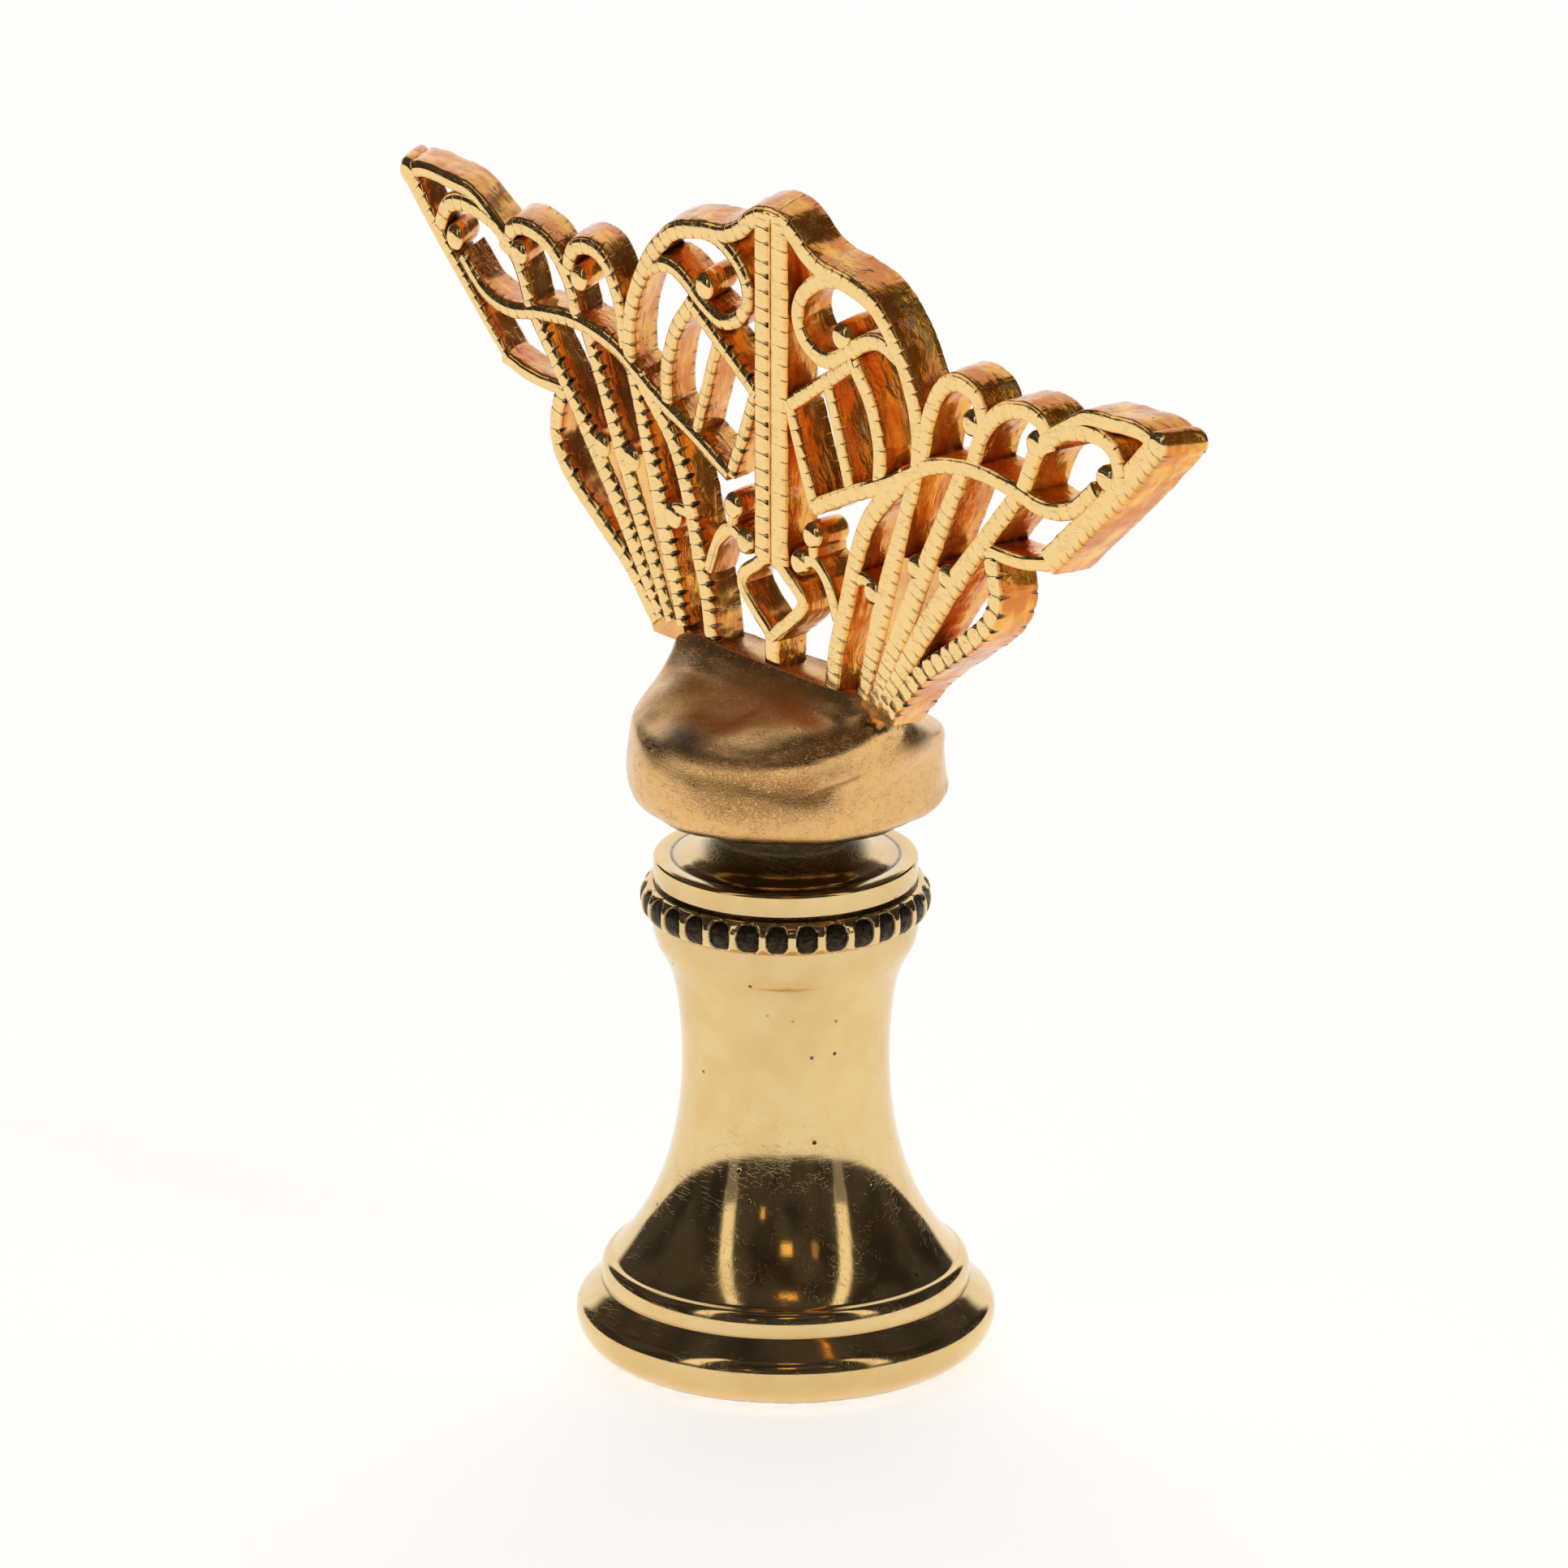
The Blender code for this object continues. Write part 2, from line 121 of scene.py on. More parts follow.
def bezier(p0: Point2, p1: Point2, p2: Point2, p3: Point2, count: int) -> list[Point2]:
    """Points on a cubic curve, without its first point.

    Args:
        p0: Start.
        p1: First handle.
        p2: Second handle.
        p3: End.
        count: Number of steps.

    Returns:
        The points in order.
    """
    points = []
    for i in range(1, count + 1):
        t = i / count
        weights = ((1 - t) ** 3, 3 * t * (1 - t) ** 2, 3 * t * t * (1 - t), t ** 3)
        points.append(tuple(sum(w * p[k] for w, p in zip(weights, (p0, p1, p2, p3))) for k in (0, 1)))
    return points


def through(points: Sequence[Sequence[float]], steps: int) -> np.ndarray:
    """A smooth curve through the given points.

    Args:
        points: Points of any dimension, in order.
        steps: Steps from one point to the next.

    Returns:
        The curve's points, one row each.
    """
    path = np.array(points, float)
    if len(path) == 2:
        return path[0] + (path[1] - path[0]) * np.linspace(0, 1, steps + 1)[:, None]
    ends = np.vstack([path[0] * 2 - path[1], path, path[-1] * 2 - path[-2]])
    result = [path[0]]
    for a, b, c, d in zip(ends, ends[1:], ends[2:], ends[3:]):
        for i in range(1, steps + 1):
            t = i / steps
            result.append(0.5 * (2 * b + (c - a) * t + (2 * a - 5 * b + 4 * c - d) * t * t
                                 + (3 * b - a - 3 * c + d) * t ** 3))
    return np.array(result)


def lumps(points: np.ndarray, size: float, seed: float = 0.0) -> np.ndarray:
    """Smooth noise from about -1 to 1 at each point.

    Args:
        points: Places, with the last axis holding x, y and z.
        size: Width of a lump in metres.
        seed: Shift that picks another pattern.

    Returns:
        One value for each place.
    """
    flat = points.reshape(-1, 3) / size + seed
    return np.array([noise.noise(p) for p in flat]).reshape(points.shape[:-1])


@dataclass
class Skin:
    """Collects rings of points into one mesh, with a value per point for each mask."""

    verts: list[np.ndarray] = field(default_factory=list)
    faces: list[tuple[int, ...]] = field(default_factory=list)
    masks: dict[Mask, list[np.ndarray]] = field(default_factory=dict)
    count: int = 0

    def add_points(self, points: np.ndarray, masks: dict[Mask, np.ndarray]) -> int:
        """Add loose points.

        Args:
            points: One row for each point.
            masks: Values for the same points.

        Returns:
            The index of the first one.
        """
        start = self.count
        flat = points.reshape(-1, 3)
        self.verts.append(flat)
        for mask in Mask:
            values = masks.get(mask)
            kept = np.zeros(len(flat)) if values is None else np.asarray(values, float).ravel()
            self.masks.setdefault(mask, []).append(kept)
        self.count += len(flat)
        return start

    def add_rings(self, rings: np.ndarray, masks: Optional[dict[Mask, np.ndarray]] = None,
                  capped: bool = True, closed: bool = False) -> None:
        """Join rings of points into a tube.

        Args:
            rings: Array of rings by points by three.
            masks: Arrays of rings by points.
            capped: Close both ends with a face.
            closed: Join the last ring to the first one.
        """
        rows, cols = rings.shape[:2]
        start = self.add_points(rings, masks or {})
        for i in range(rows if closed else rows - 1):
            low, high = start + i * cols, start + (i + 1) % rows * cols
            for j in range(cols):
                k = (j + 1) % cols
                self.faces.append((low + j, low + k, high + k, high + j))
        if capped and not closed:
            self.faces.append(tuple(range(start + cols - 1, start - 1, -1)))
            last = start + (rows - 1) * cols
            self.faces.append(tuple(range(last, last + cols)))

    def build(self, name: str, material: bpy.types.Material, slot: Slot, replaces: Iterable[str] = (),
              sharp_deg: float = 55.0) -> bpy.types.Object:
        """Make the mesh object, dress it and tie it to the frame.

        Args:
            name: The piece's name.
            material: Its finish.
            slot: The record's material slot.
            replaces: CAD nodes that it stands for.
            sharp_deg: Edges sharper than this stay crisp.

        Returns:
            The new object.
        """
        mesh = bpy.data.meshes.new(name)
        mesh.from_pydata(np.vstack(self.verts).tolist(), [], self.faces)
        for mask, parts in self.masks.items():
            values = np.concatenate(parts).astype(np.float32)
            if values.any():
                mesh.attributes.new(mask.value, "FLOAT", "POINT").data.foreach_set("value", values)
        work = bmesh.new()
        work.from_mesh(mesh)
        bmesh.ops.recalc_face_normals(work, faces=work.faces)
        work.to_mesh(mesh)
        work.free()
        mesh.shade_smooth()
        mesh.set_sharp_from_angle(angle=math.radians(sharp_deg))
        mesh.materials.append(material)
        piece = bpy.data.objects.new(name, mesh)
        bpy.context.scene.collection.objects.link(piece)
        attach(piece, ROOT_BODY)
        for node in replaces:
            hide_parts(node)
        triangles = sum(len(face.vertices) - 2 for face in mesh.polygons)
        LOG.info("%s: %d triangles, %s", name, triangles, slot.value)
        return piece


# Node helpers and shared effects

class NodeBench:
    """Adds and joins nodes in one node tree."""

    def __init__(self, tree: bpy.types.NodeTree) -> None:
        """Keep the tree to work on."""
        self.tree = tree

    def put(self, socket: bpy.types.NodeSocket, value: Value) -> None:
        """Set a socket's value, or join another socket to it."""
        if isinstance(value, bpy.types.NodeSocket):
            self.tree.links.new(value, socket)
        elif isinstance(value, (int, float)):
            socket.default_value = value
        else:
            size = len(socket.default_value)
            socket.default_value = (*value, 1.0)[:size]

    def add(self, kind: str, values: Optional[dict[Union[str, int], Value]] = None,
            **settings: object) -> bpy.types.Node:
        """Add a node.

        Args:
            kind: Blender's name of the node type, without its ShaderNode prefix.
            values: Value or socket for each named input.
            settings: Properties of the node.

        Returns:
            The node.
        """
        node = self.tree.nodes.new("ShaderNode" + kind)
        for key, setting in settings.items():
            setattr(node, key, setting)
        for key, value in (values or {}).items():
            self.put(node.inputs[key], value)
        return node

    def math(self, operation: str, first: Value, second: Value = 0.0,
             clamp: bool = False) -> bpy.types.NodeSocket:
        """Result of a Math node."""
        return self.add("Math", {0: first, 1: second}, operation=operation, use_clamp=clamp).outputs[0]

    def times(self, first: Value, *others: Value, clamp: bool = False) -> bpy.types.NodeSocket:
        """Product of two or more values.

        Args:
            first: The first value.
            others: What it is multiplied by, in turn.
            clamp: Keep the product from 0 to 1.

        Returns:
            The product.
        """
        for i, other in enumerate(others, 1):
            first = self.math("MULTIPLY", first, other, clamp and i == len(others))
        return first

    def plus(self, start: Value, *parts: tuple[Value, float], clamp: bool = False) -> bpy.types.NodeSocket:
        """A value with weighted parts added to it.

        Args:
            start: The value to start from.
            parts: Each part with its weight, which is negative to take it away.
            clamp: Keep the sum from 0 to 1.

        Returns:
            The sum.
        """
        for i, (part, weight) in enumerate(parts, 1):
            start = self.math("ADD", start, self.times(part, weight), clamp and i == len(parts))
        return start

    def span(self, value: Value, low: float, high: float, start: float = 0.0, end: float = 1.0
             ) -> bpy.types.NodeSocket:
        """A value carried smoothly from low..high to start..end."""
        node = self.add("MapRange", {"Value": value, "From Min": low, "From Max": high,
                                     "To Min": start, "To Max": end}, interpolation_type="SMOOTHSTEP")
        return node.outputs["Result"]

    def blend(self, factor: Value, first: Value, second: Value, mode: str = "MIX") -> bpy.types.NodeSocket:
        """Mix of two colours."""
        node = self.add("Mix", data_type="RGBA", blend_type=mode)
        self.put(node.inputs[0], factor)
        self.put(node.inputs[6], first)
        self.put(node.inputs[7], second)
        return node.outputs[2]

    def coats(self, ground: Value, *layers: tuple[Value, Value]) -> bpy.types.NodeSocket:
        """A colour with others laid over it.

        Args:
            ground: The lowest colour.
            layers: Cover and colour of each one, from below.

        Returns:
            The mixed colour.
        """
        for cover, colour in layers:
            ground = self.blend(cover, ground, colour)
        return ground

    def place_mm(self, stretch: Sequence[float] = (1.0, 1.0, 1.0), turn: Sequence[float] = (0.0, 0.0, 0.0)
                 ) -> bpy.types.NodeSocket:
        """The surface point in millimetres, stretched and turned."""
        coordinates = self.add("TexCoord").outputs["Object"]
        scale = [s / MM for s in stretch]
        return self.add("Mapping", {"Vector": coordinates, "Rotation": turn, "Scale": scale}).outputs[0]

    def noise(self, place: Value, scale: Value, detail: float = 2.0, roughness: float = 0.5,
              distortion: float = 0.0) -> bpy.types.NodeSocket:
        """Value of a noise texture."""
        node = self.add("TexNoise", {"Vector": place, "Scale": scale, "Detail": detail,
                                     "Roughness": roughness, "Distortion": distortion})
        return node.outputs["Fac"]

    def mask(self, mask: Mask) -> bpy.types.NodeSocket:
        """A value kept on the mesh."""
        return self.add("Attribute", attribute_name=mask.value).outputs["Fac"]


class Effect(Enum):
    """Shared surface effects, each one a node group."""

    SCRATCHES = "fine_scratches"
    GRAIN = "cast_grain"
    # Painted shade in corners, from ambient occlusion.
    CREVICE = "crevice_shade"
    PITS = "dark_pits"
    WEAR = "edge_wear"
    DUST = "settled_dust"


class EffectShop:
    """Builds each shared effect once, as a node group, and places it in materials."""

    def __init__(self) -> None:
        """Build the groups."""
        self.groups: dict[Effect, bpy.types.NodeTree] = {}
        makers = {
            Effect.SCRATCHES: (self._scratches, {"Scale": 1.0, "Amount": 0.5}),
            Effect.GRAIN: (self._grain, {"Scale": 4.0, "Amount": 1.0}),
            Effect.CREVICE: (self._crevice, {"Reach": 0.6 * MM, "Scale": 3.0, "Amount": 1.0}),
            Effect.PITS: (self._pits, {"Scale": 1.0, "Amount": 0.5}),
            Effect.WEAR: (self._wear, {"Scale": 3.0, "Amount": 0.5}),
            Effect.DUST: (self._dust, {"Scale": 2.0, "Amount": 0.2}),
        }
        for effect, (maker, inputs) in makers.items():
            tree = bpy.data.node_groups.new(effect.value, "ShaderNodeTree")
            for name, value in inputs.items():
                socket = tree.interface.new_socket(name, in_out="INPUT", socket_type="NodeSocketFloat")
                socket.default_value = value
            tree.interface.new_socket("Value", in_out="OUTPUT", socket_type="NodeSocketFloat")
            bench = NodeBench(tree)
            given = tree.nodes.new("NodeGroupInput").outputs
            result = maker(bench, given)
            tree.links.new(result, tree.nodes.new("NodeGroupOutput").inputs["Value"])
            self.groups[effect] = tree

    def use(self, bench: NodeBench, effect: Effect, **values: float) -> bpy.types.NodeSocket:
        """Place an effect in a material.

        Args:
            bench: The material's bench.
            effect: Which effect.
            values: Values for its named inputs.

        Returns:
            Its value, from 0 to 1.
        """
        node = bench.add("Group", node_tree=self.groups[effect])
        for name, value in values.items():
            node.inputs[name.capitalize()].default_value = value
        return node.outputs["Value"]

    @staticmethod
    def _scratches(bench: NodeBench, given: bpy.types.NodeInputs) -> bpy.types.NodeSocket:
        """Hairlines in three directions, broken up."""
        found: Value = 0.0
        for turn in ((0.3, 0.9, 0.2), (1.2, -0.5, 1.1), (-0.7, 0.4, 2.3)):
            hairs = bench.noise(bench.place_mm((0.30, 2.6, 2.6), turn), given["Scale"], 1.0, 0.4, 0.3)
            line = bench.span(bench.math("ABSOLUTE", bench.math("SUBTRACT", hairs, 0.5)), 0.012, 0.0)
            patches = bench.noise(bench.place_mm((0.7, 0.7, 0.7), turn), given["Scale"])
            found = bench.math("MAXIMUM", found, bench.times(line, bench.span(patches, 0.53, 0.62)))
        return bench.times(found, given["Amount"], clamp=True)

    @staticmethod
    def _grain(bench: NodeBench, given: bpy.types.NodeInputs) -> bpy.types.NodeSocket:
        """Uneven skin of a casting or a brushed paint."""
        rough = bench.noise(bench.place_mm(), given["Scale"], 5.0, 0.62, 0.6)
        return bench.times(bench.span(rough, 0.30, 0.70), given["Amount"], clamp=True)

    @staticmethod
    def _crevice(bench: NodeBench, given: bpy.types.NodeInputs) -> bpy.types.NodeSocket:
        """Painted shade in corners: darker where ambient occlusion finds surfaces close by, broken up by
        noise.
        """
        open_sky = bench.add("AmbientOcclusion", {"Distance": given["Reach"]}, samples=3).outputs["AO"]
        corner = bench.span(open_sky, 0.62, 0.20)
        broken = bench.span(bench.noise(bench.place_mm(), given["Scale"], 4.0, 0.6), 0.35, 0.60, 0.25, 1.0)
        return bench.times(corner, broken, given["Amount"], clamp=True)

    @staticmethod
    def _pits(bench: NodeBench, given: bpy.types.NodeInputs) -> bpy.types.NodeSocket:
        """Small scattered pits and specks."""
        cells = bench.add("TexVoronoi", {"Vector": bench.place_mm(), "Scale": given["Scale"]})
        wanted = bench.span(cells.outputs["Color"], 0.74, 0.80)
        spot = bench.span(cells.outputs["Distance"], 0.15, 0.06)
        return bench.times(spot, wanted, given["Amount"], clamp=True)

    @staticmethod
    def _wear(bench: NodeBench, given: bpy.types.NodeInputs) -> bpy.types.NodeSocket:
        """Brighter metal where edges are rubbed."""
        edge = bench.span(bench.add("NewGeometry").outputs["Pointiness"], 0.50, 0.60)
        broken = bench.span(bench.noise(bench.place_mm(), given["Scale"], 3.0), 0.35, 0.65)
        return bench.times(edge, broken, given["Amount"], clamp=True)

    @staticmethod
    def _dust(bench: NodeBench, given: bpy.types.NodeInputs) -> bpy.types.NodeSocket:
        """A thin film on what faces up."""
        normal = bench.add("NewGeometry").outputs["Normal"]
        up = bench.span(bench.add("SeparateXYZ", {0: normal}).outputs["Z"], 0.35, 0.95)
        broken = bench.span(bench.noise(bench.place_mm(), given["Scale"], 5.0, 0.7), 0.42, 0.68)
        return bench.times(up, broken, given["Amount"], clamp=True)


# Finishes

@dataclass(frozen=True)
class Finish:
    """What all finishes share: a named material, its shader, and how values are joined to it."""

    name: str

    def start(self) -> tuple[bpy.types.Material, NodeBench, bpy.types.Node]:
        """Return an empty material, its bench and its Principled shader."""
        material = bpy.data.materials.new(self.name)
        material.use_nodes = True
        bench = NodeBench(material.node_tree)
        return material, bench, material.node_tree.nodes["Principled BSDF"]

    def dress(self, bench: NodeBench, shader: bpy.types.Node, values: dict[str, Value],
              relief: Value, relief_depth: float) -> None:
        """Join values and a relief to the shader.

        Args:
            bench: The material's bench.
            shader: Its Principled shader.
            values: Value or socket for each named input.
            relief: Height of the surface.
            relief_depth: How far a height of 1 stands out, in metres.
        """
        bump = bench.add("Bump", {"Strength": 1.0, "Distance": relief_depth, "Height": relief})
        for name, value in {**values, "Normal": bump.outputs[0]}.items():
            bench.put(shader.inputs[name], value)


@dataclass(frozen=True)
class PolishedBrass(Finish):
    """Old polished brass: pale greenish yellow, with fine scratches, pits and tarnish in its hollows, and
    painted shade in its corners and grooves and on the cone and neck under the mound.
    """

    name: str = "polished_brass"
    colour: Colour = (0.80, 0.58, 0.27)
    warm: Colour = (0.70, 0.46, 0.17)
    patina_and_shade: Colour = (0.020, 0.015, 0.012)
    blush: Colour = (0.34, 0.26, 0.25)
    roughness: float = 0.085
    relief_depth: float = 0.004 * MM

    def build(self, shop: EffectShop) -> bpy.types.Material:
        """Return the material."""
        material, bench, shader = self.start()
        cloud = bench.span(bench.noise(bench.place_mm(), 0.35, 3.0, 0.6), 0.40, 0.66)
        scratches = shop.use(bench, Effect.SCRATCHES, scale=1.5, amount=0.7)
        pits = shop.use(bench, Effect.PITS, scale=1.1, amount=0.9)
        crevice = shop.use(bench, Effect.CREVICE, reach=0.55 * MM, scale=3.0, amount=0.8)
        wear = shop.use(bench, Effect.WEAR, scale=3.0, amount=0.5)
        crust = shop.use(bench, Effect.GRAIN, scale=6.0, amount=1.0)

        # Painted shade: corners darkened by ambient occlusion and the painted-shade part of the patina mask
        # take the dark patina colour, along with the real patina.
        dark = bench.times(bench.math("MAXIMUM", bench.mask(Mask.PATINA_AND_SHADE), crevice),
                           bench.span(crust, 0.0, 1.0, 0.95, 1.0), clamp=True)
        tarnish_and_shade = bench.times(bench.mask(Mask.TARNISH_AND_SHADE), bench.span(crust, 0.0, 1.0, 0.55, 1.0))
        colour = bench.coats(self.colour, (bench.times(cloud, 0.45), self.warm), (tarnish_and_shade, self.blush),
                             (dark, self.patina_and_shade), (pits, self.patina_and_shade),
                             (bench.times(wear, 0.5), self.colour))
        rough = bench.plus(self.roughness, (scratches, 0.16), (cloud, 0.03), (dark, 0.30), clamp=True)

        turning = bench.noise(bench.place_mm((0.22, 0.22, 4.5)), 1.0, 4.0, 0.65)
        ripple = bench.noise(bench.place_mm((0.5, 0.5, 0.9)), 1.0, 2.0)
        streaks = bench.noise(bench.place_mm((2.4, 2.4, 0.30)), 1.0, 3.0, 0.6)
        relief = bench.plus(0.0, (turning, 0.30), (ripple, 0.9), (streaks, 0.55), (scratches, -0.35),
                            (pits, -3.0), (bench.times(crust, dark), 6.0))
        self.dress(bench, shader, {"Base Color": colour, "Metallic": 1.0, "Roughness": rough},
                   relief, self.relief_depth)
        return material


@dataclass(frozen=True)
class GiltPutty(Finish):
    """Satin gold paint over hand-pressed putty, rubbed on the swells; its brown hollow is painted shade and
    reflection, and its dark underside and dimples are painted shade.
    """

    name: str = "gilt_putty"
    colour: Colour = (0.82, 0.50, 0.20)
    shade: Colour = (0.46, 0.19, 0.05)
    stain_and_reflection: Colour = (0.66, 0.26, 0.055)
    grime_and_shade: Colour = (0.050, 0.028, 0.016)
    film: Colour = (0.72, 0.62, 0.50)
    roughness: float = 0.15
    relief_depth: float = 0.014 * MM

    def build(self, shop: EffectShop) -> bpy.types.Material:
        """Return the material."""
        material, bench, shader = self.start()
        speckle = shop.use(bench, Effect.GRAIN, scale=5.5, amount=1.0)
        fleck = bench.span(bench.noise(bench.place_mm(), 11.0, 4.0, 0.7), 0.40, 0.62)
        scratches = shop.use(bench, Effect.SCRATCHES, scale=2.6, amount=0.9)
        crevice = shop.use(bench, Effect.CREVICE, reach=0.4 * MM, scale=2.4, amount=0.5)
        wear = shop.use(bench, Effect.WEAR, scale=3.5, amount=0.6)
        dust = shop.use(bench, Effect.DUST, scale=2.5, amount=0.10)

        groove = bench.mask(Mask.GROOVE)
        worked = bench.times(groove, fleck)
        # Painted shade and reflection: the hollow's orange-brown from the tarnish mask, then near-black for
        # the underside, the dimples and the corners found by ambient occlusion, laid on with the real dark
        # specks.
        brown = bench.times(bench.mask(Mask.TARNISH_AND_SHADE), bench.span(speckle, 0.0, 1.0, 0.75, 0.95))
        dark = bench.math("MAXIMUM", bench.mask(Mask.PATINA_AND_SHADE), crevice)
        colour = bench.coats(self.colour, (bench.times(speckle, 0.16), self.shade),
                             (bench.times(worked, 0.65), self.shade),
                             (bench.times(scratches, 0.35), self.shade), (wear, self.colour),
                             (brown, self.stain_and_reflection), (dark, self.grime_and_shade), (dust, self.film))
        rough = bench.plus(self.roughness, (speckle, 0.07), (groove, 0.05), (brown, 0.22), (dark, 0.2),
                           clamp=True)

        skin = bench.times(fleck, bench.span(groove, 0.0, 1.0, 0.18, 1.5))
        self.dress(bench, shader, {"Base Color": colour, "Metallic": 1.0, "Roughness": rough},
                   bench.plus(skin, (scratches, -0.9)), self.relief_depth)
        return material


@dataclass(frozen=True)
class GoldPlate(Finish):
    """Bright gold plate on a cast openwork: smooth pale faces with painted shade in their nicks and along
    their edges, and glossy walls whose orange-brown is painted shade and reflection.
    """

    name: str = "gold_plate"
    colour: Colour = (0.92, 0.645, 0.275)
    wall: Colour = (1.0, 0.50, 0.07)
    deep: Colour = (0.76, 0.23, 0.02)
    rose: Colour = (0.56, 0.24, 0.08)
    # Near-black for the painted shade of nicks and corners, and for pits.
    cut: Colour = (0.022, 0.014, 0.008)
    roughness: float = 0.11
    coat: float = 0.70
    coat_roughness: float = 0.05
    relief_depth: float = 0.16 * MM
    nick_mm: float = 0.085
    line_mm: float = 0.016
    soft_mm: float = 0.022

    def nicks(self, bench: NodeBench) -> bpy.types.NodeSocket:
        """Painted shade of thin cuts across the strips, each one opening into a nick at one edge.

        Args:
            bench: The material's bench.

        Returns:
            Their darkness, from 0 to 1.
        """
        strength = bench.mask(Mask.NICK)
        share = bench.span(bench.mask(Mask.ACROSS), 0.10, 0.92)
        broken = bench.span(bench.noise(bench.place_mm(), 2.3, 2.0), 0.36, 0.62, 0.35, 1.0)
        reach = bench.plus(self.line_mm, (bench.times(share, strength), self.nick_mm))
        past_edge = bench.math("SUBTRACT", reach, bench.mask(Mask.NICK_OFF))
        inside = bench.span(past_edge, -self.soft_mm, self.soft_mm)
        depth = bench.math("MAXIMUM", bench.times(broken, 0.45), share)
        return bench.times(inside, depth, strength, clamp=True)

    def build(self, shop: EffectShop) -> bpy.types.Material:
        """Return the material."""
        material, bench, shader = self.start()
        scratches = shop.use(bench, Effect.SCRATCHES, scale=2.2, amount=0.6)
        crevice = shop.use(bench, Effect.CREVICE, reach=0.40 * MM, scale=2.2, amount=0.85)
        wear = shop.use(bench, Effect.WEAR, scale=3.0, amount=0.4)
        pits = shop.use(bench, Effect.PITS, scale=1.6, amount=0.8)
        wall = bench.mask(Mask.WALL)

        # Painted shade and reflection: the side walls, the same plate as the faces, are coloured a darker,
        # saturated orange-brown with deep patches.
        blush = bench.span(bench.noise(bench.place_mm(), 0.42, 1.0), 0.55, 0.66)
        shade = bench.span(bench.noise(bench.place_mm((0.5, 1.4, 0.5)), 0.8, 3.0, 0.6), 0.36, 0.60)
        side = bench.coats(self.wall, (shade, self.deep), (bench.times(blush, 0.20), self.rose))
        # Painted shade: the faces turn darker orange towards their rounded edges.
        rounded_edge_shade = bench.span(bench.math("ABSOLUTE", bench.mask(Mask.ACROSS)), 0.62, 0.98, 0.0, 0.45)
        nicks = self.nicks(bench)
        # Painted shade: the nicks and the corners found by ambient occlusion take the near-black cut colour.
        dark = bench.math("MAXIMUM", bench.math("MAXIMUM", nicks, bench.mask(Mask.PATINA_AND_SHADE)), crevice)
        rubbed = bench.times(wear, bench.span(wall, 0.0, 0.6, 1.0, 0.0))
        colour = bench.coats(self.colour, (rounded_edge_shade, self.wall), (wall, side), (dark, self.cut),
                             (pits, self.cut), (rubbed, self.colour))
        rough = bench.plus(self.roughness, (scratches, 0.12), (dark, 0.22), (wall, 0.10), clamp=True)

        crinkle = bench.noise(bench.place_mm((0.55, 1.5, 0.55)), 1.5, 3.0, 0.5, 0.5)
        rugged = bench.span(bench.noise(bench.place_mm(), 0.30, 1.0), 0.42, 0.58, 0.25, 1.0)
        relief = bench.plus(bench.times(crinkle, rugged, bench.span(wall, 0.0, 1.0, 0.02, 1.0)),
                            (scratches, -0.03), (nicks, -0.30))
        self.dress(bench, shader, {"Base Color": colour, "Metallic": bench.span(wall, 0.0, 1.0, 1.0, 0.80),
                                   "Roughness": rough, "Coat Weight": bench.times(wall, self.coat),
                                   "Coat Roughness": self.coat_roughness}, relief, self.relief_depth)
        return material


@dataclass(frozen=True)
class PaperSweep(Finish):
    """The white studio floor, bright enough to lose all but the faintest shadow."""

    name: str = "paper_sweep"
    colour: Colour = (0.88, 0.87, 0.86)
    glow: float = 0.74

    def build(self) -> bpy.types.Material:
        """Return the material."""
        material, bench, shader = self.start()
        fibre = bench.span(bench.noise(bench.place_mm(), 0.8, 4.0), 0.3, 0.7, 0.985, 1.0)
        bench.put(shader.inputs["Base Color"], bench.blend(1.0, self.colour, fibre, "MULTIPLY"))
        shader.inputs["Roughness"].default_value = 0.9
        shader.inputs["Specular IOR Level"].default_value = 0.2
        shader.inputs["Emission Color"].default_value = (1.0, 0.995, 0.985, 1.0)
        shader.inputs["Emission Strength"].default_value = self.glow
        return material


# Turned base

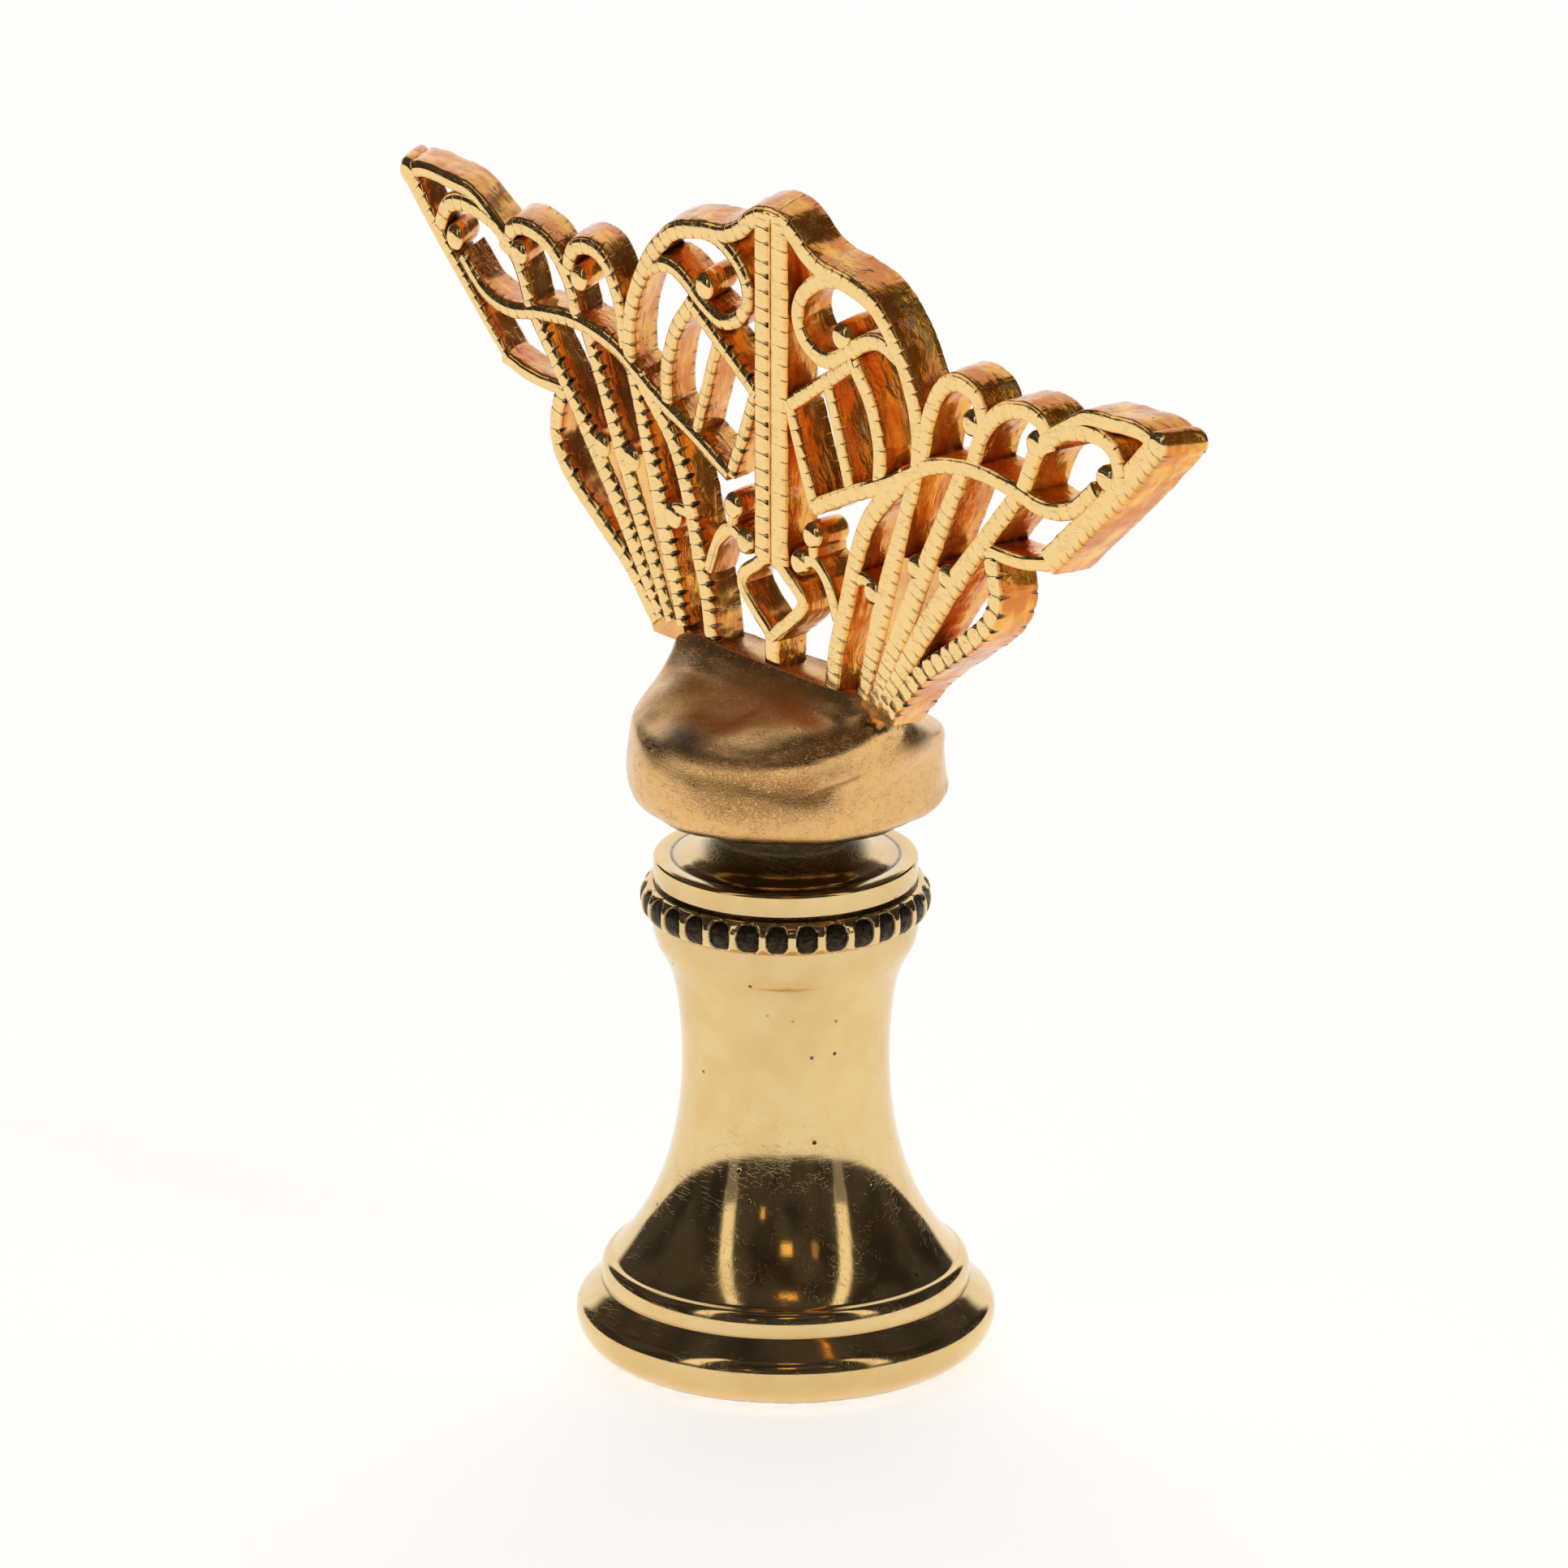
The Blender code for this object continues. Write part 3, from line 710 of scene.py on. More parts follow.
@dataclass
class TurnedBase:
    """The turned brass foot: bottom disc, step, flare, waist, shoulder, beaded collar, cap, cone and neck."""

    node: str = "finial_base"
    disc_widest: float = 1.80 * MM
    disc_lower_reach: float = 1.97 * MM
    disc_upper_round: float = 0.94 * MM
    disc_slope_deg: float = 50.0
    step_radius: float = 8.34 * MM
    step_height: float = 4.45 * MM
    step_edge_drop: float = 0.80 * MM
    flare_radius: float = 7.90 * MM
    waist_radius: float = 4.70 * MM
    waist_height: float = 13.80 * MM
    shoulder_radius: float = 5.98 * MM
    shoulder_height: float = 19.45 * MM
    band_height: float = 1.25 * MM
    shoulder_curve: tuple[Point2, ...] = (
        (0.020, 0.22), (0.10, 0.44), (0.20, 0.60), (0.30, 0.70), (0.385, 0.765),
        (0.50, 0.825), (0.60, 0.870), (0.715, 0.917), (0.82, 0.965), (0.90, 1.0))
    collar_radius: float = 6.56 * MM
    collar_height: float = 1.50 * MM
    cap_radius: float = 5.96 * MM
    cap_height: float = 1.10 * MM
    cap_edge: float = 0.16 * MM
    cap_lower_round: float = 0.10 * MM
    groove_height: float = 0.15 * MM
    groove_depth: float = 0.30 * MM
    cone_radius: float = 5.13 * MM
    cone_height: float = 0.90 * MM
    neck_radius: float = 3.20 * MM
    socket_radius: float = 3.10 * MM
    socket_depth: float = 9.50 * MM
    thread_pitch: float = 0.941 * MM
    thread_depth: float = 0.40 * MM
    thread_root: float = 0.25 * MM
    bore_clearance: float = 0.12 * MM
    pole_radius: float = 0.05 * MM
    bead_pitch: float = 1.38 * MM
    cell_width: float = 0.80
    cell_height: float = 0.90
    cell_squareness: float = 3.0
    barrel_round: float = 0.38 * MM
    cell_sink: float = 0.15 * MM
    bead_rise: float = 0.11 * MM
    collar_wall: float = 0.60 * MM
    sides: int = 256

    def __post_init__(self) -> None:
        """Take the overall size from the frame."""
        low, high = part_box(self.node)
        self.disc_radius = (high.x - low.x) / 2
        self.neck_top = high.z
        self.collar_base = self.shoulder_height + self.band_height
        self.cap_base = self.collar_base + self.collar_height + self.groove_height
        self.cap_top = self.cap_base + self.cap_height

    def profile(self) -> list[tuple[float, float, float, float]]:
        """Half section from the socket's top down, round the disc and up to the neck.

        Returns:
            Radius, height, patina mask and tarnish mask of each point; both masks also carry painted shade.
        """
        slope = math.radians(self.disc_slope_deg)
        upper = self.disc_radius - self.disc_upper_round
        lower = self.disc_radius - self.disc_lower_reach
        cone_run = upper + self.disc_upper_round * math.cos(slope) - self.step_radius
        seat_z = self.disc_widest + self.disc_upper_round * math.sin(slope) + cone_run / math.tan(slope)
        rise, drop = self.shoulder_height - self.waist_height, self.waist_height - self.step_height
        spread = self.flare_radius - self.waist_radius
        rows: list[tuple[float, float, float, float]] = []

        def run(points: Iterable[Point2], patina_and_shade: float = 0.0, tarnish_and_shade: float = 0.0) -> None:
            """Add a stretch of the section."""
            rows.extend((r, z, patina_and_shade, tarnish_and_shade) for r, z in points)

        bore = self.socket_radius + self.bore_clearance
        run([(self.pole_radius, self.socket_depth), (bore, self.socket_depth), (bore, self.socket_depth / 2),
             (bore, 0.35 * MM), (bore + 0.25 * MM, 0.0)], 0.6)
        run([(lower * 0.7, 0.0), (lower, 0.0)], 0.0, 0.25)
        run(arc((lower, self.disc_widest), (self.disc_lower_reach, self.disc_widest), -85, 0, 26))
        run(arc((upper, self.disc_widest), (self.disc_upper_round,) * 2, 4, self.disc_slope_deg, 14))
        for share in (0.25, 0.5, 0.75, 0.97):
            back = cone_run * (1 - share)
            run([(self.step_radius + back, seat_z - back / math.tan(slope))], 0.0, 0.1 * share)
        # Painted shadow in the groove between the step and the disc.
        run([(self.step_radius - 0.02 * MM, seat_z + 0.01 * MM)], 0.30, 0.4)
        run([(self.step_radius, seat_z + 0.05 * MM)], 0.0, 0.1)
        corner = (self.flare_radius, self.step_height - self.step_edge_drop)
        run(arc(corner, (self.step_radius - self.flare_radius, self.step_edge_drop), 0, 88, 14))
        flare_start = (self.flare_radius - 0.03 * MM, self.step_height + 0.02 * MM)
        run([flare_start], 0.0, 0.25)
        run(bezier(flare_start, (self.waist_radius + 0.42 * spread, self.step_height + 0.20 * drop),
                   (self.waist_radius, self.waist_height - 0.46 * drop),
                   (self.waist_radius, self.waist_height), 60))
        gain = self.shoulder_radius - self.waist_radius
        curve = [(self.waist_radius + out * gain, self.waist_height + up * rise)
                 for out, up in self.shoulder_curve]
        run(map(tuple, through([(self.waist_radius, self.waist_height)] + curve, 5)[1:]))
        run([(self.shoulder_radius + 0.02 * MM, self.collar_base - 0.5 * self.band_height),
             (self.shoulder_radius + 0.03 * MM, self.collar_base - 0.04 * MM),
             (self.shoulder_radius - 0.02 * MM, self.collar_base + 0.02 * MM)], 0.0, 0.10)
        inside = self.collar_radius - 0.62 * MM
        run([(inside, self.collar_base + 0.10 * MM), (inside, self.cap_base - 0.20 * MM)], 0.85)
        # Painted shade in the groove between the collar and the cap.
        throat = self.cap_radius - self.groove_depth
        run([(throat, self.cap_base - 0.12 * MM), (throat, self.cap_base - 0.03 * MM)], 0.20)
        lower_edge = (self.cap_radius - self.cap_lower_round, self.cap_base + self.cap_lower_round)
        run(arc(lower_edge, (self.cap_lower_round,) * 2, -80, 0, 4), 0.0, 0.2)
        edge = (self.cap_radius - self.cap_edge, self.cap_top - self.cap_edge)
        run(arc(edge, (self.cap_edge, self.cap_edge), 0, 90, 6))
        scribe = self.cone_radius
        run([(scribe + 0.12 * MM, self.cap_top - 0.01 * MM)], 0.0, 0.15)
        run([(scribe + 0.04 * MM, self.cap_top - 0.045 * MM),
             (scribe - 0.03 * MM, self.cap_top - 0.045 * MM)], 0.25, 1.0)
        run([(scribe - 0.10 * MM, self.cap_top)], 0.0, 0.35)
        run([(scribe - 0.55 * MM, self.cap_top + 0.03 * MM)], 0.0, 0.1)
        # The cone and the neck under the mound get more and more painted shade upward, standing in for the
        # mound's shade and its dark reflection.
        for share in (0.30, 0.45, 0.60, 0.75, 0.90, 1.0):
            radius = self.neck_radius + (scribe - 0.55 * MM - self.neck_radius) * (1 - share)
            run([(radius, self.cap_top + 0.03 * MM + self.cone_height * share ** 2.2)], 0.75 * share ** 2)
        run([(self.neck_radius, self.cap_top + self.cone_height + 0.15 * MM),
             (self.neck_radius, self.neck_top), (self.pole_radius, self.neck_top)], 0.9)
        return rows

    def build_turning(self, material: bpy.types.Material) -> None:
        """Turn the section into the foot."""
        rows = np.array(self.profile())
        turn = np.linspace(0, 2 * math.pi, self.sides, endpoint=False)
        shape = (len(rows), self.sides)
        rings = np.empty((*shape, 3))
        rings[..., 0] = rows[:, :1] * np.cos(turn)
        rings[..., 1] = rows[:, :1] * np.sin(turn)
        rings[..., 2] = rows[:, 1:2]
        masks = {Mask.PATINA_AND_SHADE: np.broadcast_to(rows[:, 2:3], shape),
                 Mask.TARNISH_AND_SHADE: np.broadcast_to(rows[:, 3:4], shape)}
        skin = Skin()
        skin.add_rings(rings, masks)
        skin.build("turned_foot", material, Slot.BRASS, [self.node], 38.0)

    def build_collar(self, material: bpy.types.Material) -> None:
        """Build the collar: dark oval cells between thin polished bars."""
        count = round(2 * math.pi * self.collar_radius / self.bead_pitch)
        per_cell, levels = 24, 22
        draw = random.Random(30)
        turn = np.linspace(0, 2 * math.pi, count * per_cell, endpoint=False)
        cell = np.floor(turn / (2 * math.pi) * count).astype(int)
        across = (turn / (2 * math.pi) * count - cell) * 2 - 1
        jitter = np.array([draw.uniform(-0.05, 0.05) for _ in range(count)])[cell]
        fill = np.array([draw.uniform(0.86, 1.0) for _ in range(count)])[cell]
        up = np.linspace(-1, 1, levels)
        middle = self.collar_base + self.collar_height / 2
        half = self.collar_height / 2
        rings = np.empty((levels, len(turn), 3))
        dark = np.zeros((levels, len(turn)))
        for i, level in enumerate(up):
            oval = (np.abs((across - jitter) / (self.cell_width * fill)) ** self.cell_squareness
                    + np.abs(level / self.cell_height) ** self.cell_squareness)
            bed = np.clip((oval - 0.88) / 0.24, 0, 1)
            bed = bed * bed * (3 - 2 * bed)
            dome = np.clip(1 - oval, 0, 1) ** 0.6
            barrel = self.collar_radius - self.barrel_round * abs(level) ** 2.6
            radius = barrel - self.cell_sink * (1 - bed) + self.bead_rise * dome
            rings[i, :, 0] = radius * np.cos(turn)
            rings[i, :, 1] = radius * np.sin(turn)
            rings[i, :, 2] = middle + level * half
            dark[i] = 1 - bed
        crust = lumps(rings, 0.30 * MM, 3.0) * 0.05 * MM * dark
        outward = rings / np.linalg.norm(rings[..., :2], axis=-1)[..., None]
        rings[..., :2] += outward[..., :2] * crust[..., None]
        inner = rings.copy()
        distance = np.linalg.norm(rings[..., :2], axis=-1)[..., None]
        inner[..., :2] *= (self.collar_radius - self.collar_wall) / distance
        closed = np.concatenate([inner[:1], rings, inner[-1:]])
        closed_dark = np.concatenate([dark[:1], dark, dark[-1:]])
        skin = Skin()
        skin.add_rings(closed, {Mask.PATINA_AND_SHADE: closed_dark}, closed=True)
        skin.build("bead_collar", material, Slot.BRASS)

    def build_thread(self, material: bpy.types.Material) -> None:
        """Build the socket's thread as one helical ridge."""
        steps = 48
        turns = (self.socket_depth - 0.8 * MM) / self.thread_pitch
        rows = round(turns * steps)
        rings = np.empty((rows, 4, 3))
        root = self.socket_radius + self.thread_root
        crest = root - self.thread_depth
        section = ((root, -0.40), (crest, -0.06), (crest, 0.06), (root, 0.40))
        for i in range(rows):
            angle = 2 * math.pi * i / steps
            height = 0.25 * MM + self.thread_pitch * i / steps
            for j, (radius, step) in enumerate(section):
                z = height + step * self.thread_pitch
                rings[i, j] = (radius * math.cos(angle), radius * math.sin(angle), z)
        skin = Skin()
        skin.add_rings(rings, {Mask.PATINA_AND_SHADE: np.full((rows, 4), 0.35)})
        skin.build("socket_thread", material, Slot.BRASS)

    def build(self, material: bpy.types.Material) -> None:
        """Build every piece of the base."""
        self.build_turning(material)
        self.build_collar(material)
        self.build_thread(material)


# Putty mound

@dataclass(frozen=True)
class Press:
    """A round mark on the putty.

    Its amount is a dent's depth in metres, negative for a swell, or a dark mark's strength from 0 to 1, used
    for grit and for the painted shade of dimples.
    """

    turn_deg: float
    height: float
    half_turn_deg: float
    half_height: float
    amount: float
    lean_mm: float = 0.0

    def mark(self, degrees: np.ndarray, height: np.ndarray) -> np.ndarray:
        """Share of the mark's amount at each place.

        Args:
            degrees: Directions round the mound.
            height: Heights above its underside.

        Returns:
            Shares from 0 to 1.
        """
        off = (degrees - self.turn_deg + 180) % 360 - 180
        up = height - self.height - self.lean_mm * off * MM
        return np.exp(-((off / self.half_turn_deg) ** 2 + (up / self.half_height) ** 2) * 1.2)


@dataclass(frozen=True)
class Fold:
    """A long mark along a line of turns in degrees and heights: a valley, or a crest if negative."""

    line: tuple[Point2, ...]
    half_height: float
    depth: float

    def mark(self, degrees: np.ndarray, height: np.ndarray) -> np.ndarray:
        """Share of the fold's depth at each place.

        Args:
            degrees: Directions round the mound.
            height: Heights above its underside.

        Returns:
            Shares from 0 to 1.
        """
        turns, heights = zip(*self.line)
        middle = np.interp(degrees, turns, heights)
        ends = np.clip((degrees - turns[0]) / 14, 0, 1) * np.clip((turns[-1] - degrees) / 14, 0, 1)
        return np.exp(-((height - middle) / self.half_height) ** 2) * ends * (2 - ends)


@dataclass
class PuttyMound:
    """The hand-pressed mound: a round belly with its top pinched into a ridge along the fan's foot."""

    node: str = "gilt_putty_mound"
    foot_radius: float = 5.10 * MM
    side_height: float = 3.60 * MM
    ridge_half_length: float = 7.10 * MM
    ridge_half_width: float = 1.95 * MM
    lip: float = 0.55 * MM
    neck_radius: float = 3.20 * MM
    wrinkle_depth: float = 0.06 * MM
    dint_depth: float = 0.05 * MM
    swell_depth: float = 0.14 * MM
    ragged_height: float = 0.10 * MM
    around: int = 288
    levels: int = 130
    presses: tuple[Press, ...] = (
        Press(-86, 4.25 * MM, 15, 0.50 * MM, -0.26 * MM, -0.010),
        Press(17, 4.40 * MM, 14, 0.55 * MM, -0.20 * MM),
        Press(-33, 3.05 * MM, 12, 0.60 * MM, 0.22 * MM),
        Press(-62, 3.30 * MM, 24, 0.50 * MM, 0.10 * MM),
        Press(-118, 4.90 * MM, 16, 0.80 * MM, -0.20 * MM),
        Press(-130, 5.60 * MM, 20, 0.70 * MM, 0.25 * MM),
        Press(52, 5.60 * MM, 22, 0.70 * MM, 0.25 * MM),
        Press(50, 0.80 * MM, 30, 0.70 * MM, -0.30 * MM),
        Press(75, 4.20 * MM, 20, 0.80 * MM, 0.35 * MM),
        Press(112, 4.60 * MM, 22, 0.90 * MM, 0.45 * MM),
        Press(162, 4.00 * MM, 16, 0.70 * MM, 0.40 * MM),
        Press(90, 3.00 * MM, 9, 0.90 * MM, 0.15 * MM, 0.08),
    )
    # The hollow is a dent; its orange-brown, from the tarnish mask, is painted shade and reflection.
    hollow: Press = Press(-78, 6.10 * MM, 24, 0.75 * MM, 0.26 * MM)
    # Painted shade: dark ovals in three dimples, each amount from 0 to 1.
    dimple_shade_marks: tuple[Press, ...] = (Press(-86, 4.25 * MM, 13, 0.42 * MM, 0.92, -0.010),
                                  Press(16, 4.35 * MM, 12, 0.50 * MM, 0.55),
                                  Press(-24, 3.80 * MM, 12, 0.50 * MM, 0.30))
    grit: Press = Press(-3, 5.90 * MM, 16, 0.65 * MM, 0.9)
    folds: tuple[Fold, ...] = (
        Fold(((-24, 3.45 * MM), (-11, 3.75 * MM), (11, 3.90 * MM), (36, 3.8 * MM), (60, 3.6 * MM)),
             0.60 * MM, -0.14 * MM),
        Fold(((-60, 3.10 * MM), (-45, 2.85 * MM), (-33, 2.50 * MM), (-22, 3.05 * MM), (-6, 3.70 * MM)),
             0.12 * MM, 0.05 * MM),
        Fold(((-84, 5.6 * MM), (-67, 5.25 * MM), (-50, 4.90 * MM), (-32, 4.62 * MM), (-16, 4.85 * MM),
              (-4, 5.25 * MM), (12, 5.7 * MM)), 0.80 * MM, -0.24 * MM),
    )

    def __post_init__(self) -> None:
        """Take the overall size from the frame."""
        low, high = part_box(self.node)
        self.radius = (high.x - low.x) / 2
        self.base = low.z
        self.height = high.z - low.z

    def sections(self) -> np.ndarray:
        """Cross sections as rows of height, half length, half width and squareness."""
        slope = self.height - self.side_height
        belly, side = self.radius, self.side_height
        tuck, narrow = belly - self.foot_radius, belly - self.ridge_half_width
        return np.array([
            (0.0, self.foot_radius, self.foot_radius, 2.0),
            (0.05 * side, belly - 0.45 * tuck, belly - 0.45 * tuck, 2.0),
            (0.20 * side, belly - 0.12 * tuck, belly - 0.12 * tuck, 2.0),
            (0.45 * side, belly, belly, 2.0),
            (0.85 * side, belly, belly - 0.02 * narrow, 2.0),
            (side + 0.12 * slope, belly, belly - 0.10 * narrow, 2.1),
            (side + 0.30 * slope, belly, belly - 0.27 * narrow, 2.2),
            (side + 0.52 * slope, belly, belly - 0.55 * narrow, 2.4),
            (side + 0.78 * slope, belly, belly - 0.87 * narrow, 2.8),
            (side + 0.95 * slope, self.ridge_half_length, self.ridge_half_width, 3.0),
            (self.height + 0.4 * self.lip, self.ridge_half_length * 0.985, self.ridge_half_width * 0.74, 3.0),
            (self.height + self.lip, self.ridge_half_length * 0.97, self.ridge_half_width * 0.58, 3.0),
        ])

    def loft(self, turn: np.ndarray) -> tuple[np.ndarray, np.ndarray]:
        """Loft the sections.

        Args:
            turn: Angles round the mound in radians.

        Returns:
            The rings of points and their directions outward.
        """
        curve = through(self.sections(), 11)
        cos, sin = np.cos(turn), np.sin(turn)
        rings = np.empty((len(curve), self.around, 3))
        for i, (height, length, width, square) in enumerate(curve):
            rings[i, :, 0] = np.sign(cos) * np.abs(cos) ** (2 / square) * length
            rings[i, :, 1] = np.sign(sin) * np.abs(sin) ** (2 / square) * width
            rings[i, :, 2] = self.base + height
        along = np.roll(rings, -1, axis=1) - np.roll(rings, 1, axis=1)
        normal = np.cross(along, np.gradient(rings, axis=0))
        return rings, normal / (np.linalg.norm(normal, axis=-1)[..., None] + 1e-12)

    def build(self, material: bpy.types.Material) -> None:
        """Loft the sections, press the hand marks in and roughen the skin."""
        turn = np.linspace(0, 2 * math.pi, self.around, endpoint=False)
        rings, normal = self.loft(turn)
        degrees = np.degrees(np.arctan2(np.sin(turn), np.cos(turn)))[None, :]
        height = rings[..., 2] - self.base
        depth = np.zeros(height.shape)
        worked = np.zeros(height.shape)
        for press in (*self.presses, self.hollow):
            mark = press.mark(degrees, height)
            depth += press.amount * mark
            worked = np.maximum(worked, mark * min(1.0, abs(press.amount) / (0.6 * MM)))
        for fold in self.folds:
            mark = fold.mark(degrees, height)
            depth += fold.depth * mark
            worked = np.maximum(worked, 0.8 * mark * (fold.depth > 0))
        aside = ((degrees + 52 + 180) % 360 - 180) / 24
        front = np.exp(-aside ** 2) * np.exp(-((height - 2.6 * MM) / (1.5 * MM)) ** 2)
        streak = rings.copy()
        streak[..., 2] *= 0.35
        depth += self.wrinkle_depth * lumps(streak, 0.42 * MM, 8.0) * front
        depth += self.dint_depth * lumps(rings, 0.7 * MM, 2.0) * (0.15 + worked)
        depth += self.swell_depth * lumps(rings, 2.6 * MM, 5.0)
        rings -= normal * depth[..., None]

        near_foot = np.clip((height - self.height + 0.3 * MM) / (0.5 * MM), 0, 1)
        crumbs = np.clip(lumps(rings, 0.60 * MM, 12.0) * 2.0, -0.3, 1.0) * near_foot
        ends = 0.12 + 0.88 * np.abs(np.cos(turn)[None, :]) ** 8
        rings[..., 2] += self.ragged_height * crumbs * ends
        ragged = np.clip(1 - height / (0.5 * MM), 0, 1)
        rings[..., 2] += self.ragged_height * lumps(rings, 0.9 * MM, 21.0) * ragged
        # Painted shade on the underside: darker towards the bottom.
        under = np.clip(1 - (height - 0.15 * MM) / (0.5 * MM), 0, 1)
        knots = np.clip((crumbs - 0.45) / 0.2, 0, 1) * near_foot * ends
        specks = np.clip(lumps(rings, 0.28 * MM, 17.0) * 5.0, 0, 1)
        gritty = np.clip(2 * self.grit.mark(degrees, height), 0, 1) * specks
        # Dark specks from the crumbs and the grit, then the painted shade of the dimples.
        specks_and_shade = np.maximum(0.9 * knots, self.grit.amount * gritty)
        for dimple_mark in self.dimple_shade_marks:
            specks_and_shade = np.maximum(specks_and_shade, dimple_mark.amount * dimple_mark.mark(degrees, height))
        masks = {Mask.GROOVE: np.clip(worked + 0.7 * front, 0, 1), Mask.PATINA_AND_SHADE: np.maximum(specks_and_shade, under),
                 Mask.TARNISH_AND_SHADE: np.maximum(self.hollow.mark(degrees, height), 0.35 * near_foot)}
        skin = Skin()
        skin.add_rings(rings, masks)
        skin.build("putty_mound", material, Slot.PUTTY, [self.node], 70.0)
        self.build_squeeze_out(material)

    def build_squeeze_out(self, material: bpy.types.Material) -> None:
        """Build the lumpy ring of putty squeezed out round the neck under the mound, darkened with painted
        shade.
        """
        neck_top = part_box("finial_base")[1].z
        turn = np.linspace(0, 2 * math.pi, 144, endpoint=False)
        middle = (self.neck_radius + 0.05 * MM, self.base - 0.02 * MM)
        section = arc(middle, (0.42 * MM, 0.50 * MM), -180, 160, 10)
        rings = np.array([[(r * math.cos(a), r * math.sin(a), z) for a in turn] for r, z in section])
        swell = lumps(rings, 0.9 * MM, 31.0)
        rings[..., :2] *= 1 + 0.05 * swell[..., None]
        rings[..., 2] += 0.12 * MM * swell
        rings[..., 2] = np.minimum(rings[..., 2], neck_top + 0.5 * MM)
        skin = Skin()
        # Painted shade: the squeeze-out under the mound is darkened all round.
        skin.add_rings(rings, {Mask.PATINA_AND_SHADE: np.clip(0.55 + swell, 0, 0.95)}, closed=True)
        skin.build("putty_squeeze_out", material, Slot.PUTTY)


# Openwork fan

class Cut(Enum):
    """How a strip's face is cut: pitch in mm, and strength of its nicks on the -X wing and on the +X wing.
    The strength sets a small dent and the painted shade of the nick, which is darker on the -X wing than on
    the +X wing.
    """

    PLAIN = (0.0, 0.0, 0.0)
    FINE = (0.62, 0.60, 0.32)
    WEDGE = (0.60, 1.00, 0.36)
    LADDER = (0.74, 1.00, 0.30)
    BEADED = (0.78, 0.95, 0.95)


@dataclass(frozen=True)
class Strip:
    """One strip of the openwork, on the fan's grid of steps out and steps up."""

    points: tuple[Point2, ...]
    width: float
    cut: Cut = Cut.FINE
    rise: float = 0.0
    foot_width: Optional[float] = None
    far_foot_width: Optional[float] = None


